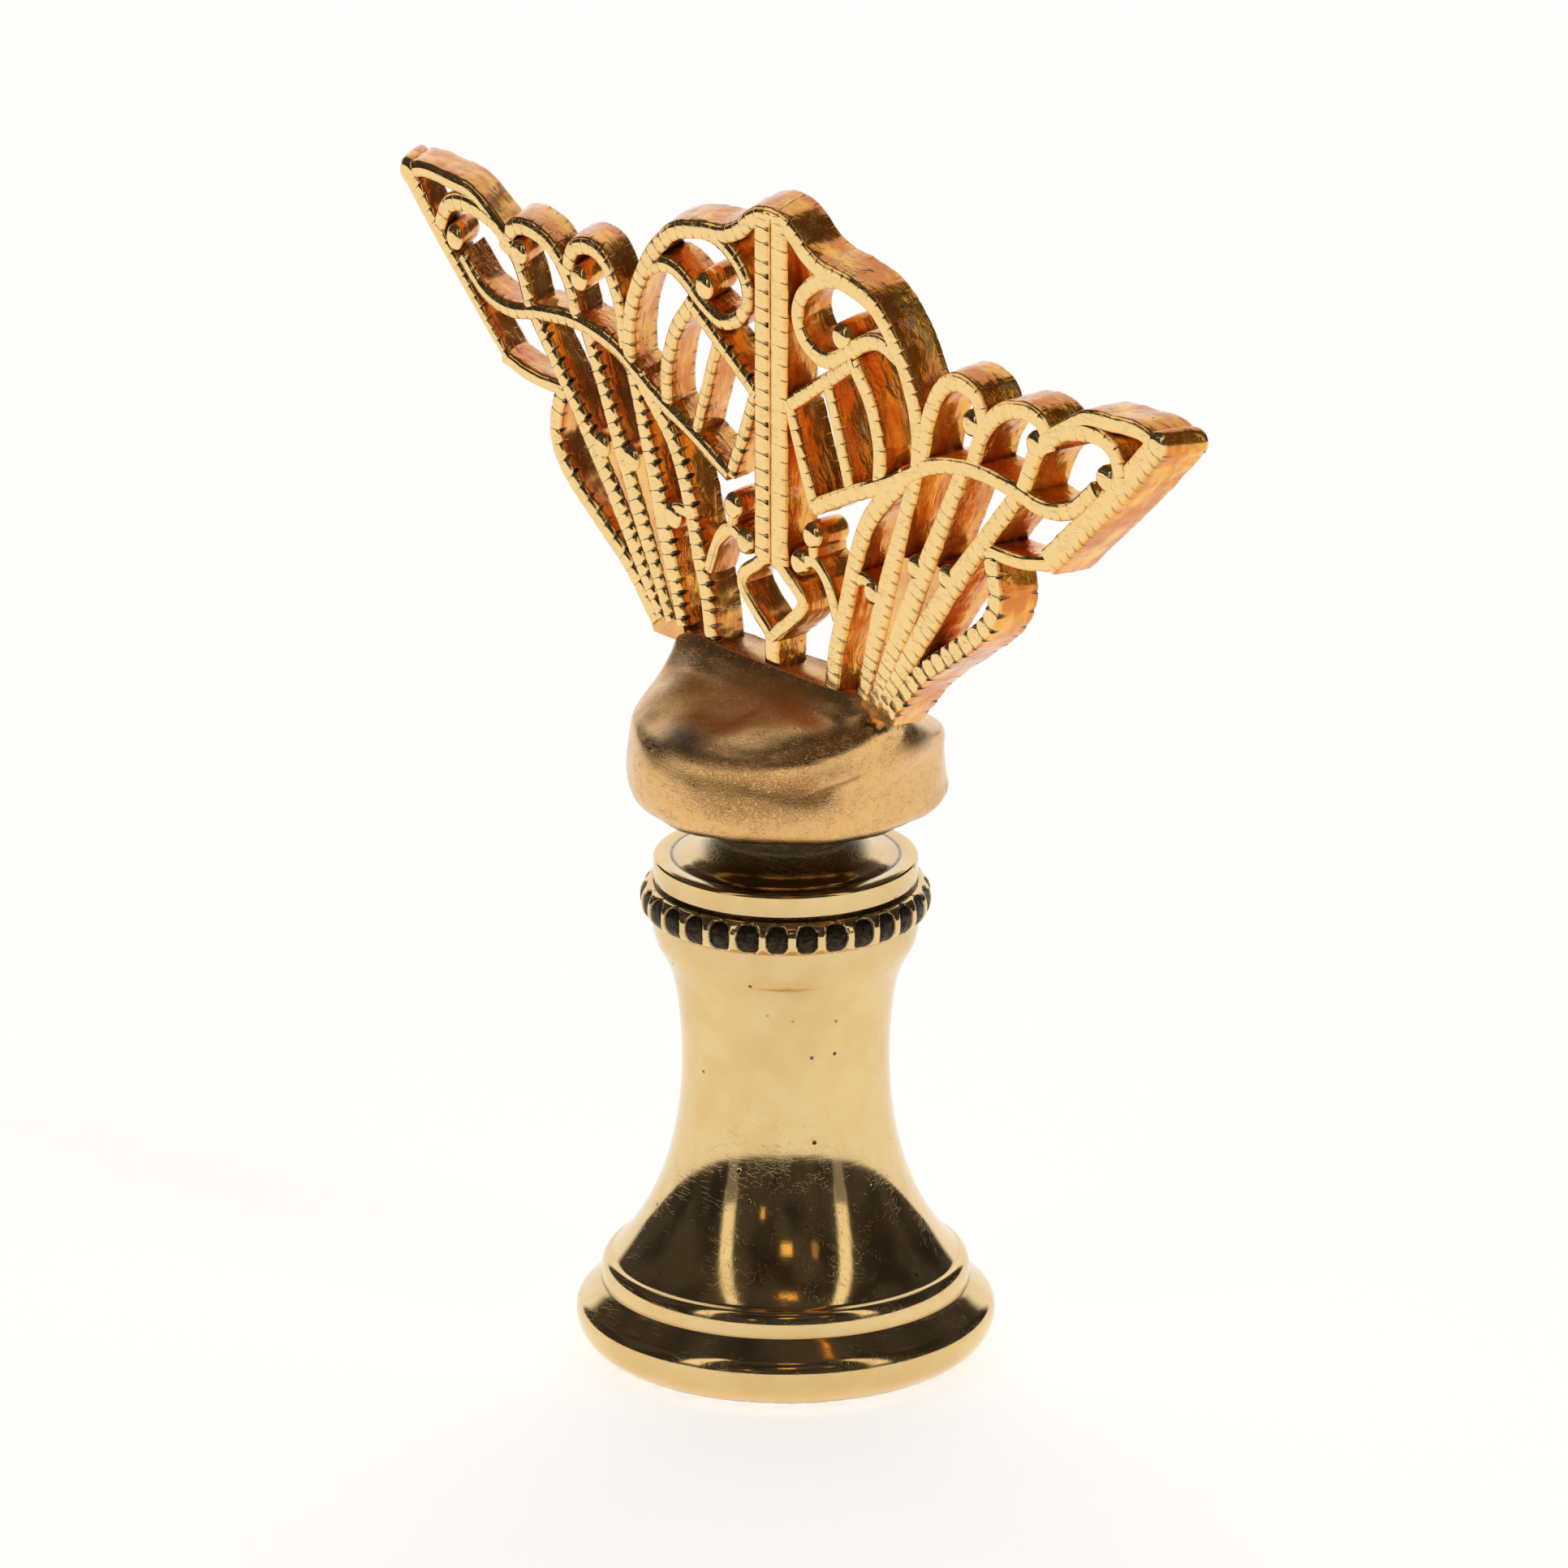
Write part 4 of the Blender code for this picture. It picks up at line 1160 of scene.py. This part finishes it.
@dataclass
class OpenworkFan:
    """The cast openwork: milled strips swept through the plate's thickness, with ball ends."""

    node: str = "openwork_fan"
    half_span: float = 27.10 * MM
    height: float = 21.40 * MM
    grid_span: float = 25.0
    grid_rise: float = 22.4
    root_depth: float = 2.0 * MM
    near_edge: float = 0.13 * MM
    far_edge: float = 0.20 * MM
    dome: float = 0.025 * MM
    dent: float = 0.05 * MM
    face_drop: float = 0.06 * MM
    wall_bulge: float = 0.03 * MM
    web_sink: float = 0.14 * MM
    ball_radius: float = 0.66 * MM
    back_spread: float = 0.037
    back_rise: float = 0.024
    rib_feet: tuple[Point2, ...] = ((6.00, 0.35), (6.75, 0.35), (7.35, 0.35))
    rib_knees: tuple[Point2, ...] = ((7.50, 6.00), (9.35, 6.30), (11.05, 6.40))
    rib_heads: tuple[Point2, ...] = ((9.40, 12.20), (12.50, 13.40), (16.00, 13.10))
    arch_feet: tuple[Point2, ...] = ((9.80, 13.00), (13.00, 13.50), (16.20, 13.30))
    arch_crowns: tuple[Point2, ...] = ((12.10, 17.30), (16.40, 17.10), (20.60, 17.20))
    arch_ends: tuple[Point2, ...] = ((13.80, 15.60), (17.95, 15.60), (22.50, 15.30))
    arch_balls: tuple[Point2, ...] = ((12.90, 15.55), (17.00, 15.70), (21.40, 15.30))
    tip: Point2 = (24.60, 17.80)

    def __post_init__(self) -> None:
        """Take the overall size from the frame."""
        low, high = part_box(self.node)
        self.thickness = high.y - low.y
        self.foot = low.z + self.root_depth

    def groups(self) -> dict[str, tuple[Strip, ...]]:
        """Strips of the +X side, by the part of the openwork that they belong to."""
        tip = self.tip
        rib_lines = zip(self.rib_feet, self.rib_knees, self.rib_heads)
        ribs = tuple(Strip(line, 0.90, Cut.WEDGE, 0.01 * i, 0.78) for i, line in enumerate(rib_lines))
        arches = tuple(Strip(self.arch(foot, crown, end), 0.88, Cut.FINE, 0.02) for foot, crown, end in
                       zip(self.arch_feet, self.arch_crowns, self.arch_ends))
        return {
            "fan_ribs": ribs + (
                Strip(((3.9, -0.6), (4.3, 2.2), (4.9, 4.4), (5.7, 7.4), (6.7, 9.5), (8.8, 11.9)),
                      1.0, Cut.WEDGE, 0.04),
                Strip(((5.3, 6.0), (6.3, 6.05), (7.5, 5.2)), 0.70, Cut.PLAIN),
            ),
            "fan_foot_scrolls": (
                Strip(((0.0, 5.5), (0.95, 4.9), (2.0, 3.6), (0.0, 1.5)), 0.72, Cut.PLAIN),
                Strip(((1.8, 5.6), (2.7, 6.05), (3.6, 5.3), (4.3, 3.6)), 0.70, Cut.PLAIN, -0.02),
                Strip(((2.6, 7.2), (2.75, 5.9)), 0.70, Cut.PLAIN, -0.03),
            ),
            "fan_rim": (
                Strip(((7.7, 0.1), (9.6, 2.4), (11.9, 4.3), (13.8, 6.0), (14.5, 7.6), (14.1, 9.8)),
                      0.95, Cut.BEADED),
                Strip(((13.5, 9.8), (16.0, 9.8), (18.1, 10.3)), 0.70, Cut.PLAIN, -0.03),
                Strip(((17.8, 10.3), (20.0, 12.6), (22.5, 15.3), tip), 1.25, Cut.FINE, -0.02, None, 0.50),
                Strip(((17.6, 16.2), (18.7, 16.9), (20.2, 17.85), (21.8, 18.05), (23.4, 18.15), tip),
                      0.80, Cut.PLAIN, 0.01),
            ),
            "fan_bands": (
                Strip(((20.8, 14.6), (19.3, 13.2), (17.5, 12.8), (15.5, 13.2), (13.0, 13.4), (10.6, 12.9),
                       (9.0, 12.0), (7.5, 11.1), (5.2, 10.0), (2.8, 8.7)), 0.80, Cut.FINE, 0.05),
                Strip(((2.8, 8.7), (2.0, 10.7), (1.2, 13.0)), 0.72, Cut.WEDGE),
                Strip(((1.0, 13.1), (3.4, 14.9), (5.4, 16.4)), 0.72, Cut.WEDGE, 0.03),
                Strip(((5.3, 16.4), (6.4, 14.8), (7.0, 12.8), (7.0, 11.0)), 0.86, Cut.FINE, 0.01),
                Strip(((3.6, 15.0), (4.3, 12.8), (5.1, 10.1)), 0.70, Cut.FINE, -0.02),
            ),
            "fan_crown": (
                Strip(((-0.4, 21.95), (0.6, 21.9), (1.4, 21.5), (2.2, 20.8), (3.3, 20.3), (4.8, 20.1),
                       (6.6, 19.5), (8.1, 17.9), (9.1, 15.9), (9.55, 14.0), (9.5, 12.4)),
                      0.92, Cut.FINE, 0.03),
                Strip(((5.0, 20.1), (3.5, 19.9), (2.2, 19.0), (1.65, 17.8), (2.1, 16.6), (3.4, 16.0),
                       (4.8, 16.6), (5.8, 17.4), (7.0, 17.8), (8.3, 17.3)), 0.82, Cut.FINE, -0.01),
            ),
            "fan_arches": arches,
        }

    def arch(self, foot: Point2, crown: Point2, end: Point2) -> tuple[Point2, ...]:
        """Path of a small arch that springs from the cross band and turns down again.

        Args:
            foot: Where it springs.
            crown: Its highest point.
            end: Where it ends.

        Returns:
            Its points on the grid.
        """
        run, rise = crown[0] - foot[0], crown[1] - foot[1]
        drop = crown[1] - end[1]
        shares = ((0.20, 0.52), (0.56, 0.88))
        shoulders = tuple((foot[0] + out * run, foot[1] + up * rise) for out, up in shares)
        turned = (crown[0] + 0.68 * (end[0] - crown[0]), crown[1] - 0.22 * drop)
        return (foot, *shoulders, crown, turned, end)

    def place(self, points: Sequence[Point2], mirror: float) -> np.ndarray:
        """Points of the grid as x and z in metres, on the +X side or its mirror."""
        grid = np.array(points, float)
        return np.stack([mirror * grid[:, 0] / self.grid_span * self.half_span,
                         self.foot + grid[:, 1] / self.grid_rise * self.height], axis=1)

    def flared(self, rings: np.ndarray) -> np.ndarray:
        """The same points with the back of the casting spread a little, as its mould needs."""
        share = np.clip(rings[..., 1] / self.thickness + 0.5, 0, 1)
        rise = self.back_rise * (1 - 0.65 * (rings[..., 0] / self.half_span) ** 2)
        rings[..., 0] *= 1 + self.back_spread * share
        rings[..., 2] = self.foot + (rings[..., 2] - self.foot) * (1 + rise * share)
        return rings

    def section(self, width: float, thickness: float, edge: float) -> np.ndarray:
        """Rounded outline of a strip, from its front face round.

        Args:
            width: Across the strip.
            thickness: Through the plate.
            edge: Rounding of its edges.

        Returns:
            Rows of offset across, offset through, wall share and face sign.
        """
        rows = []
        half, deep = width / 2, thickness / 2
        for face in (-1, 1):
            side = 1 if face < 0 else -1
            for corner in (-1, 1):
                for k in range(4):
                    angle = math.radians(30 * k if corner < 0 else 90 - 30 * k)
                    across = corner * (half - edge * (1 - math.cos(angle)))
                    through_plate = face * (deep - edge * (1 - math.sin(angle)))
                    rows.append((side * across, through_plate, math.cos(angle) ** 2, face))
                if corner < 0:
                    for share in (-0.45, 0.0, 0.45):
                        lift = self.dome * (1 - share * share)
                        rows.append((side * share * half, face * (deep + lift), 0.0, face))
            for level in (-0.55, 0.0, 0.55):
                bulge = self.wall_bulge if level == 0.0 else 0.0
                rows.append((side * (half + bulge), -face * level * (deep - edge), 1.0, 0))
        return np.array(rows)

    def add_strip(self, skin: Skin, strip: Strip, mirror: float, seed: int) -> None:
        """Sweep one strip with its cuts.

        Args:
            skin: The mesh to add to.
            strip: The strip.
            mirror: 1 for the +X side, -1 for the other.
            seed: Seed of its small irregularities.
        """
        draw = random.Random(seed)
        path = through(self.place(strip.points, mirror), 14)
        steps = np.linalg.norm(np.diff(path, axis=0), axis=1)
        run = np.concatenate([[0.0], np.cumsum(steps)])
        length = run[-1]
        pitch, far_nick, near_nick = strip.cut.value
        # Painted shade in the nicks: darker on the -X wing than on the +X wing.
        nick = far_nick if mirror < 0 else near_nick
        count = max(1, round(length / ((pitch or 0.5) * MM)))
        spacing = length / count
        centres = np.array([(i + 0.5 + draw.uniform(-0.10, 0.10)) * spacing for i in range(count)])
        strengths = np.array([nick * draw.uniform(0.60, 1.10) for _ in range(count)])
        middles = (centres[1:] + centres[:-1]) / 2
        offsets = np.array([-0.16, -0.08, 0.0, 0.08, 0.16]) * MM
        places = np.concatenate([[0.0, length], middles, (centres[:, None] + offsets).ravel()])
        places = np.unique(np.clip(places, 0.0, length))
        nearest = np.argmin(np.abs(places[:, None] - centres[None, :]), axis=1)
        off = np.abs(places - centres[nearest])
        centre_line = np.stack([np.interp(places, run, path[:, k]) for k in (0, 1)], axis=1)
        ahead = np.stack([np.interp(places, run, np.gradient(path[:, k], run)) for k in (0, 1)], axis=1)
        ahead /= np.linalg.norm(ahead, axis=1)[:, None]
        across = np.stack([-ahead[:, 1], ahead[:, 0]], axis=1)

        width = strip.width * MM
        edge = self.near_edge if mirror > 0 else self.far_edge
        thickness = self.thickness + 2 * strip.rise * MM - self.face_drop
        outline = self.section(width, thickness, min(edge, 0.3 * width))
        shape = (len(places), len(outline))
        share = outline[:, 0] / (width / 2)
        taper = np.ones(len(places))
        if strip.foot_width:
            wide = np.interp(places / length, [0, 0.35, 0.55, 0.75, 1],
                             [strip.foot_width, 1.25, 1.15, 0.95, 0.9])
            taper = wide / strip.width
        if strip.far_foot_width and mirror < 0:
            taper = np.interp(places / length, [0, 0.6, 1], [strip.far_foot_width / strip.width, 0.62, 0.9])
        offset = np.broadcast_to(outline[:, 0], shape) * taper[:, None]
        through_plate = np.broadcast_to(outline[:, 1], shape).copy()
        towards = share[None, :] * np.sign(across[:, :1] + 1e-9) * (1.35 if strip.cut is Cut.LADDER else 1.12)
        if strip.cut is Cut.BEADED:
            towards = np.abs(towards) * 1.6 - 0.7
        facing = np.abs(outline[:, 3])[None, :]
        dip = np.clip(1 - off[:, None] / (0.14 * MM), 0, 1) * strengths[nearest][:, None]
        dip = dip * (0.25 + 0.75 * np.clip(towards, 0, 1)) * (2.0 if strip.cut is Cut.BEADED else 1.0)
        through_plate -= np.sign(through_plate) * dip * self.dent * facing
        rings = np.empty((*shape, 3))
        rings[..., 0] = centre_line[:, :1] + across[:, :1] * offset
        rings[..., 1] = through_plate
        rings[..., 2] = centre_line[:, 1:] + across[:, 1:] * offset
        wobble = (lumps(rings, 0.60 * MM, seed * 0.7) * 0.045 * MM
                  + lumps(rings, 0.25 * MM, seed * 1.3) * 0.012 * MM)
        wall = np.broadcast_to(outline[:, 2], shape)
        outward = np.sign(share)[None, :] * wobble * (0.35 + 0.65 * wall)
        rings[..., 0] += across[:, :1] * outward
        rings[..., 2] += across[:, 1:] * outward
        rings[..., 1] += wobble * 0.25 * facing
        masks = {Mask.WALL: wall, Mask.ACROSS: towards, Mask.NICK: strengths[nearest][:, None] * facing,
                 Mask.NICK_OFF: np.broadcast_to(off[:, None] / MM, shape)}
        skin.add_rings(self.flared(rings), masks)

    def add_ball(self, skin: Skin, centre: Point2, mirror: float, radius: float) -> None:
        """Add a ball end: a short round post with domed faces."""
        x, z = self.place([centre], mirror)[0]
        deep = self.thickness / 2
        profile = [(0.02, -deep - 0.07 * MM), (0.35, -deep - 0.065 * MM), (0.62, -deep - 0.03 * MM),
                   (0.82, -deep + 0.05 * MM), (0.95, -deep + 0.20 * MM), (1.0, -0.3 * deep)]
        rows = profile + [(r, -y) for r, y in reversed(profile)]
        turn = np.linspace(0, 2 * math.pi, 24, endpoint=False)
        rings = np.array([[(x + r * radius * math.cos(a), y, z + r * radius * math.sin(a)) for a in turn]
                          for r, y in rows])
        wall = np.array([[1.0 if abs(y) < 0.8 * deep else 0.0] * len(turn) for _, y in rows])
        skin.add_rings(self.flared(rings), {Mask.WALL: wall})

    def add_plate(self, skin: Skin, points: Sequence[Point2], mirror: float, sink: float) -> None:
        """Add a flat web between ribs, sunk below their faces."""
        flat = self.place(points, mirror)
        deep = self.thickness / 2 - sink
        rings = np.array([[(x, y, z) for x, z in flat] for y in (-deep, deep)])
        skin.add_rings(self.flared(rings), {Mask.WALL: np.full(rings.shape[:2], 0.6)})

    def build(self, material: bpy.types.Material) -> None:
        """Build every group of strips on both sides, then the centre rib, the webs and the balls."""
        seed = 1
        for name, strips in self.groups().items():
            skin = Skin()
            for mirror in (1.0, -1.0):
                for strip in strips:
                    self.add_strip(skin, strip, mirror, seed)
                    seed += 1
            skin.build(name, material, Slot.PLATE, [self.node], 50.0)
        centre = Skin()
        for mirror in (1.0, -1.0):
            self.add_strip(centre, Strip(((0.55, 5.3), (0.55, 21.8)), 1.20, Cut.LADDER, 0.05), mirror, seed)
            seed += 1
        self.add_strip(centre, Strip(((0.0, 5.2), (0.0, 21.9)), 0.12, Cut.PLAIN, 0.06), 1.0, seed)
        self.add_strip(centre, Strip(((0.0, -0.5), (0.0, 1.7)), 1.0, Cut.PLAIN, -0.02), 1.0, seed + 1)
        centre.build("fan_centre_rib", material, Slot.PLATE, [self.node], 50.0)

        web = ((5.7, -0.5), (7.9, -0.5), (9.4, 2.6), (11.5, 7.9), (10.2, 8.2), (8.2, 7.8))
        ends = Skin()
        balls = (*self.arch_balls, self.tip, (1.8, 5.7), (2.60, 7.2), (6.6, 5.6), (4.5, 17.4),
                 (9.4, 7.6), (11.4, 7.7))
        for mirror in (1.0, -1.0):
            self.add_plate(ends, web, mirror, self.web_sink)
            for ball in balls:
                self.add_ball(ends, ball, mirror, self.ball_radius)
        ends.build("fan_ball_ends", material, Slot.PLATE, [self.node], 50.0)


# Studio

@dataclass(frozen=True)
class StudioLight:
    """A light in the studio's surroundings, by its direction as seen from the finial."""

    azimuth: float
    elevation: float
    half_width: float
    half_height: float
    soft: float
    colour: Colour


@dataclass
class Studio:
    """White sweep, soft surrounding light with a dark room beyond its open front, and the camera."""

    azimuth_deg: float = 51.5
    elevation_deg: float = 18.7
    distance: float = 0.700
    lens: float = 358.2
    sensor: float = 36.0
    aim_height: float = 26.71 * MM
    aim_side: float = -0.0765 * MM
    floor_half: float = 0.60
    white: float = 1.04
    backdrop_slant: float = 0.57
    backdrop_edge: float = -0.81
    backdrop_soft: float = 0.03
    backdrop_sides_deg: Point2 = (148.0, 142.0)
    room_foot_deg: Point2 = (-4.0, -1.0)
    room_foot_drop_deg: float = 6.0
    room_drop_from_deg: Point2 = (60.0, 120.0)
    overhead_deg: Point2 = (38.0, 60.0)
    room: Colour = (0.050, 0.045, 0.045)
    lights: tuple[StudioLight, ...] = (
        StudioLight(-53, 35, 4.0, 26, 3.0, (1.10, 1.02, 0.90)),
        StudioLight(53, 35, 4.0, 26, 3.0, (1.10, 1.02, 0.90)),
        StudioLight(-53, 4, 4.0, 8, 3.0, (0.22, 0.21, 0.22)),
        StudioLight(53, 4, 4.0, 8, 3.0, (0.26, 0.25, 0.25)),
        StudioLight(-21, 19, 1.5, 1.5, 1.0, (1.0, 0.62, 0.22)),
        StudioLight(1, 34.5, 4.2, 2.2, 1.2, (1.25, 0.78, 0.28)),
        StudioLight(26, 34, 2.0, 3.0, 1.5, (0.40, 0.26, 0.12)),
        StudioLight(3, 60, 8.0, 1.6, 1.2, (1.1, 0.62, 0.18)),
    )

    def build_floor(self) -> None:
        """Lay the sweep under the finial."""
        skin = bmesh.new()
        bmesh.ops.create_grid(skin, x_segments=2, y_segments=2, size=self.floor_half)
        mesh = bpy.data.meshes.new("studio_floor")
        skin.to_mesh(mesh)
        skin.free()
        mesh.materials.append(PaperSweep().build())
        floor = bpy.data.objects.new("studio_floor", mesh)
        floor.location.z = CAD_LOW.z
        bpy.context.scene.collection.objects.link(floor)

    @staticmethod
    def band(bench: NodeBench, value: Value, middle: float, half: float, soft: float
             ) -> bpy.types.NodeSocket:
        """1 inside a band of angles, falling to 0 over its soft edge."""
        off = bench.math("ABSOLUTE", bench.math("SUBTRACT", value, middle))
        return bench.span(off, half + soft, half)

    def build_world(self) -> None:
        """Paint the surroundings: white all round, a dark room in front, and its lights."""
        world = bpy.data.worlds.new("studio")
        bpy.context.scene.world = world
        world.use_nodes = True
        bench = NodeBench(world.node_tree)
        turn = math.radians(self.azimuth_deg)
        direction = bench.add("TexCoord").outputs["Generated"]
        towards, lateral = (
            bench.add("VectorMath", {0: direction, 1: axis}, operation="DOT_PRODUCT").outputs["Value"]
            for axis in ((math.sin(turn), -math.cos(turn), 0.0), (math.cos(turn), math.sin(turn), 0.0)))
        height = bench.add("SeparateXYZ", {0: direction}).outputs["Z"]
        azimuth = bench.math("DEGREES", bench.math("ARCTAN2", lateral, towards))
        elevation = bench.math("DEGREES", bench.math("ARCSINE", height))
        aside = bench.math("ABSOLUTE", azimuth)
        foot_drop = bench.span(aside, *self.room_drop_from_deg, 0.0, self.room_foot_drop_deg)
        above = bench.span(bench.math("ADD", elevation, foot_drop), *self.room_foot_deg)
        overhead = bench.span(elevation, *self.overhead_deg)
        around = bench.math("MAXIMUM", bench.span(aside, *self.backdrop_sides_deg), overhead)
        behind = bench.plus(towards, (height, -self.backdrop_slant))
        under = bench.span(behind, self.backdrop_edge - self.backdrop_soft,
                           self.backdrop_edge + self.backdrop_soft)
        under = bench.math("MAXIMUM", under, bench.span(elevation, *reversed(self.overhead_deg)))
        dark = bench.times(above, around, under)
        cloud = bench.span(bench.noise(direction, 2.5, 2.0), 0.35, 0.65, 0.5, 1.3)
        room = bench.blend(1.0, self.room, cloud, "MULTIPLY")
        for light in self.lights:
            wide = self.band(bench, azimuth, light.azimuth, light.half_width, light.soft)
            tall = self.band(bench, elevation, light.elevation, light.half_height, light.soft)
            room = bench.blend(bench.times(wide, tall), room, light.colour)
        painted = bench.blend(dark, (self.white,) * 3, room)
        seen = bench.add("LightPath").outputs["Is Camera Ray"]
        painted = bench.blend(seen, painted, (1.0, 1.0, 1.0))
        bench.put(world.node_tree.nodes["Background"].inputs["Color"], painted)

    def build_camera(self) -> None:
        """Set the camera at the photograph's viewing angle."""
        turn, tilt = math.radians(self.azimuth_deg), math.radians(self.elevation_deg)
        back = Vector((math.sin(turn) * math.cos(tilt), -math.cos(turn) * math.cos(tilt), math.sin(tilt)))
        side = Vector((math.cos(turn), math.sin(turn), 0.0))
        data = bpy.data.cameras.new("photo_camera")
        data.lens = self.lens
        data.sensor_width = self.sensor
        data.clip_start, data.clip_end = 0.05, 10.0
        camera = bpy.data.objects.new("photo_camera", data)
        camera.location = Vector((0.0, 0.0, self.aim_height)) + side * self.aim_side + back * self.distance
        camera.rotation_mode = "QUATERNION"
        camera.rotation_quaternion = (-back).to_track_quat("-Z", "Y")
        bpy.context.scene.collection.objects.link(camera)
        bpy.context.scene.camera = camera

    def build(self) -> None:
        """Build the whole studio."""
        bpy.context.scene.view_settings.view_transform = "Standard"
        self.build_camera()
        self.build_floor()
        self.build_world()


def main() -> None:
    """Build the studio and the finial's pieces in order."""
    logging.basicConfig(level=logging.INFO, format="%(name)s %(message)s")
    Studio().build()
    shop = EffectShop()
    TurnedBase().build(PolishedBrass().build(shop))
    PuttyMound().build(GiltPutty().build(shop))
    OpenworkFan().build(GoldPlate().build(shop))


if __name__ == "__main__":
    main()
